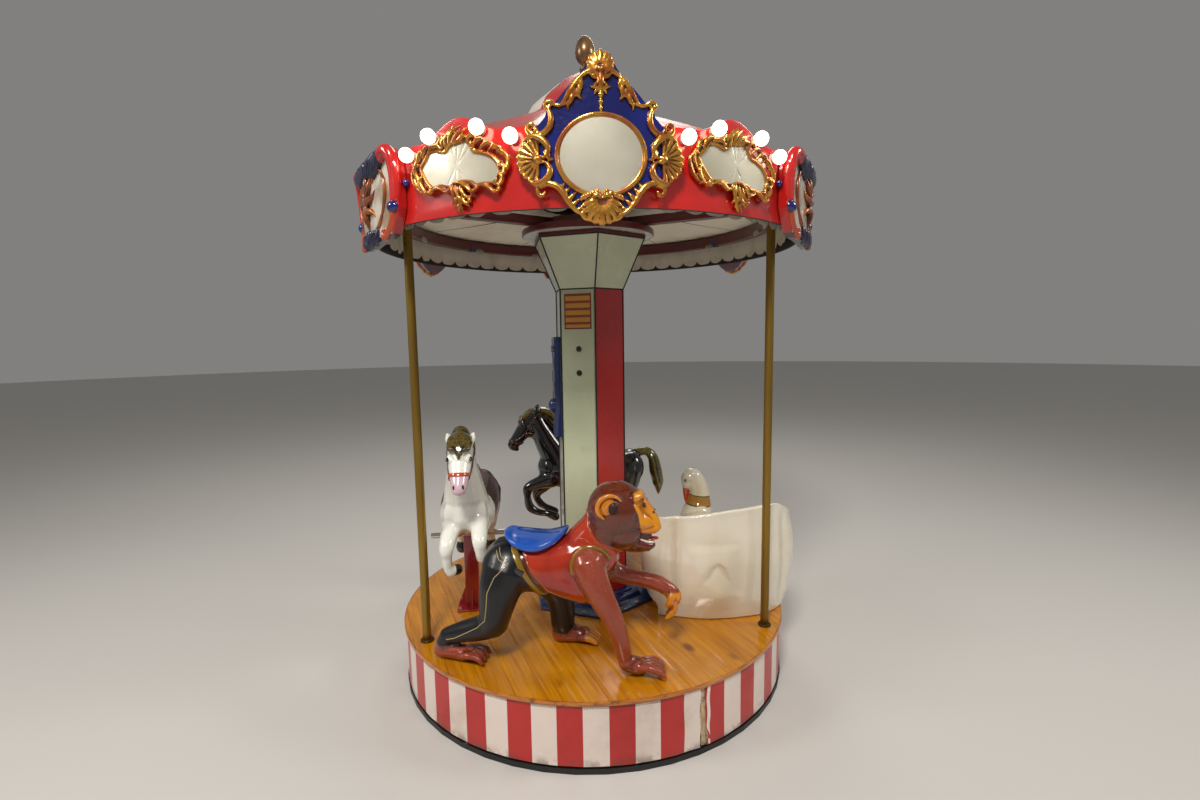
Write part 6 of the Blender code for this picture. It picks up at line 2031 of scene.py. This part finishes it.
for piece, finish, slot in (
    (ears, ear_amber, "brown_fur"),
    (smooth(joined("ear_hollows", holes), 60), ear_dark, "brown_fur"),
    (smooth(joined("monkey_eyes", dots), 60), eye_black, "black_gloss"),
    (settled(tongue), tongue_red, "red_gloss"),
    (smooth(carving("monkey_teeth", teeth, 1.8, 2), 60), tooth_white, "white_gloss"),
):
    fitted(placed(coat(piece, finish), *MONKEY_PLACE), slot)
modified(monkey, "DECIMATE", ratio=0.36)
fitted(placed(monkey, *MONKEY_PLACE), "brown_fur", "monkey")

# The monkey's saddle: a dished blue seat, moulded in one piece and bolted to its back.
# It has a raised lip behind, and it rises to the collar in front.
SADDLE_ALONG, SADDLE_UP, SADDLE_LONG, SADDLE_WIDE, SADDLE_THICK = -103, 471, 120, 99, 8
saddle = ball("saddle_seat", 72, 36, (0, 0, 0), (1, 1, 1))
for point in saddle.data.vertices:
    long, wide, high = point.co
    rim = max(0.0, 1 - long**2 - wide**2) ** 0.5
    lip = 8 * math.exp(-(((long + 0.9) / 0.16) ** 2))
    rise = SADDLE_UP + 20 * long**2 + 14 * long**3 - 17 * wide**2 * (1 - 0.3 * long**2) + lip
    thick = SADDLE_THICK * min(1.0, rim * 3.2)
    rise += thick + 4 * (1 - min(1.0, rim * 1.6)) if high > 0 else -thick - 16 * rim
    point.co = Vector((SADDLE_ALONG + SADDLE_LONG * long, SADDLE_WIDE * wide, rise)) * MM
saddle_blue = paint("saddle_blue", colour(16, 84, 186), 0.1, 0.0, 0.8, colour(14, 60, 140), 0.3, 22, 0.0008)
fitted(placed(coat(smooth(saddle, 60), saddle_blue), *MONKEY_PLACE), "blue_gloss", "monkey_saddle")

# The swan bench: a moulded tub seat in the shape of a swan, ivory and glossy. Its back carries an embossed
# tail, its sides swell out as wings, and the neck rises in front. The head looks aside, with a gold collar
# and a red beak.
BENCH_PLACE = (0.552, 83.8, 10)
FLOOR_GAP, LIP_START, LIP_OUT = 0.6, 0.96, 2
TUB_LONG, TUB_WIDE, TUB_POWER = 285, 318, 2.6
AXIS_AWAY = 552
RIM = [
    (-180, 225), (-150, 240), (-120, 290), (-95, 345), (-74, 392), (-58, 440), (-42, 478), (-35, 484),
    (-20, 478), (0, 470), (14, 462), (30, 450), (45, 438), (60, 425), (75, 398), (95, 360), (120, 315),
    (150, 240), (180, 225),
]
FLARE = [(0, 0.955), (30, 0.975), (73, 1.0), (172, 1.03), (250, 1.04), (330, 1.025), (400, 1.0), (490, 0.985)]
COLUMN_SIDE = [(42, 309), (70, 226), (480, 222)]


def humps(value, *places):
    """A sum of soft humps: each has its place, its half width and its height."""
    return sum(height * math.exp(-(((value - place) / width) ** 2)) for place, width, height in places)


def tub_reach(angle, height):
    """How far the shell of the bench stands from its middle, in mm."""
    turn = math.radians(angle)
    plan = (abs(math.cos(turn)) / TUB_LONG) ** TUB_POWER + (abs(math.sin(turn)) / TUB_WIDE) ** TUB_POWER
    reach = plan ** (-1 / TUB_POWER) * np.interp(height, *zip(*FLARE))
    across = reach * math.sin(turn)
    if abs(angle) < 70:
        bulge = 15 / (1 + ((across - 85) / 100) ** 6) / (1 + math.exp((height - 318) / 9))
        reach += bulge * min(1.0, height / 110)
        drop = max(0.0, 262 - height)
        creases = sum(humps(across - 71 - lean * drop, (0, 10 + drop * 0.12, -7)) for lean in (-0.62, 0.62))
        reach += creases * min(1.0, drop / 20) * math.exp(-((drop / 85) ** 2))
        reach += humps(across, (68, 44, 12)) * math.exp(-(((height - 120) / 62) ** 2))
    reach += humps(abs(angle), (47, 5, -17), (72, 16, 22)) * math.sin(math.pi * min(1.0, height / 450)) ** 0.7
    reach += humps(angle, (60, 12, 42)) * math.exp(-height / 80)
    offset, column = AXIS_AWAY * math.sin(turn), np.interp(height, *zip(*COLUMN_SIDE))
    clear = column**2 - (AXIS_AWAY * math.cos(turn)) ** 2
    return min(reach, offset - math.sqrt(clear)) if offset > 0 and clear > 0 else reach


tub = grid("tub", 200, 50)
for point in tub.data.vertices:
    angle, share = point.co.x * 360, point.co.y + 0.5
    height = FLOOR_GAP + share * (np.interp(angle, *zip(*RIM)) - FLOOR_GAP)
    reach = tub_reach(angle, height) + LIP_OUT * max(0.0, share - LIP_START) / (1 - LIP_START)
    turn = math.radians(angle)
    point.co = (-reach * math.cos(turn) * MM, reach * math.sin(turn) * MM, height * MM)
modified(closed(tub), "SOLIDIFY", thickness=0.022, offset=-1)
seat = rod("seat", 64, 0.276, 0.030, (0, 0, 0.185))
neck = [
    ([(250, 200, 10), (310, 262, 22), (328, 322, 38), (330, 375, 42)], [98, 86, 66, 53]),
    ([(330, 375, 42), (330, 425, 30), (330, 462, 4), (328, 462, -10)], [53, 52, 54, 46]),
    ([(328, 462, -10), (326, 436, -24)], [46, 32]),
]
beak = [([(326, 436, -24), (328, 400, -31), (330, 356, -30), (331, 334, -27)], [27, 16, 11, 6])]
breast = [((216, 165, 0), (126, 140, 150))]
bench = figure("bench_body", neck, breast, beak, [tub, seat], voxel=4.4, web=0)
where = spots(bench)
along, across, up = where
ring = (up - 348) - 0.10 * (across + 40)
marked(
    bench,
    beak=np.minimum(inside(where, [(beak[0][0][1:], [20, 15, 10])], 3.0), 424 - up),
    collar=np.where((along > 262) & (up > 280) & (inside(where, beak, 4.0) < 0), 27 - np.abs(ring), -30.0),
)
ivory = Finish("ivory_gloss_paint", coat_weight=1.0, coat_roughness=0.05)
hollow = ivory.hollow(0.50, 0.64)
mellow = ivory.noise(3.5, detail=5)
shell = ivory.mix(mellow.between(0.35, 0.7), colour(232, 224, 206), colour(218, 206, 178))
# Painted shade: the ivory is darker and browner in the hollows of the moulding.
shell = ivory.mix(hollow * 0.3, shell, colour(170, 146, 110))
shell = ivory.mix(edged(ivory, "beak", 1.0), shell, colour(196, 60, 22))
shell = ivory.mix(edged(ivory, "collar", 0.8), shell, colour(20, 16, 12))
shell = ivory.mix(edged(ivory, "collar", 0.8, 4.5), shell, colour(164, 116, 36))
chips = ivory.noise(44, detail=5, roughness=0.7).between(0.69, 0.73)
ivory.feed(base_color=ivory.mix(chips * 0.6, shell, colour(70, 56, 50)), roughness=mellow * 0.08 + 0.07)
ivory.bump(ivory.noise(6, detail=4), 0.0016)
coat(bench, ivory.material)
modified(bench, "DECIMATE", ratio=0.3)
fitted(placed(bench, *BENCH_PLACE), "ivory_gloss", "swan_bench")
swan_eyes = lumps(((300, 456, -40), (7, 8, 7)), ((352, 456, -40), (7, 8, 7)))
swan_eyes = smooth(joined("swan_eyes", swan_eyes), 60)
fitted(placed(coat(swan_eyes, eye_black), *BENCH_PLACE), "black_gloss")
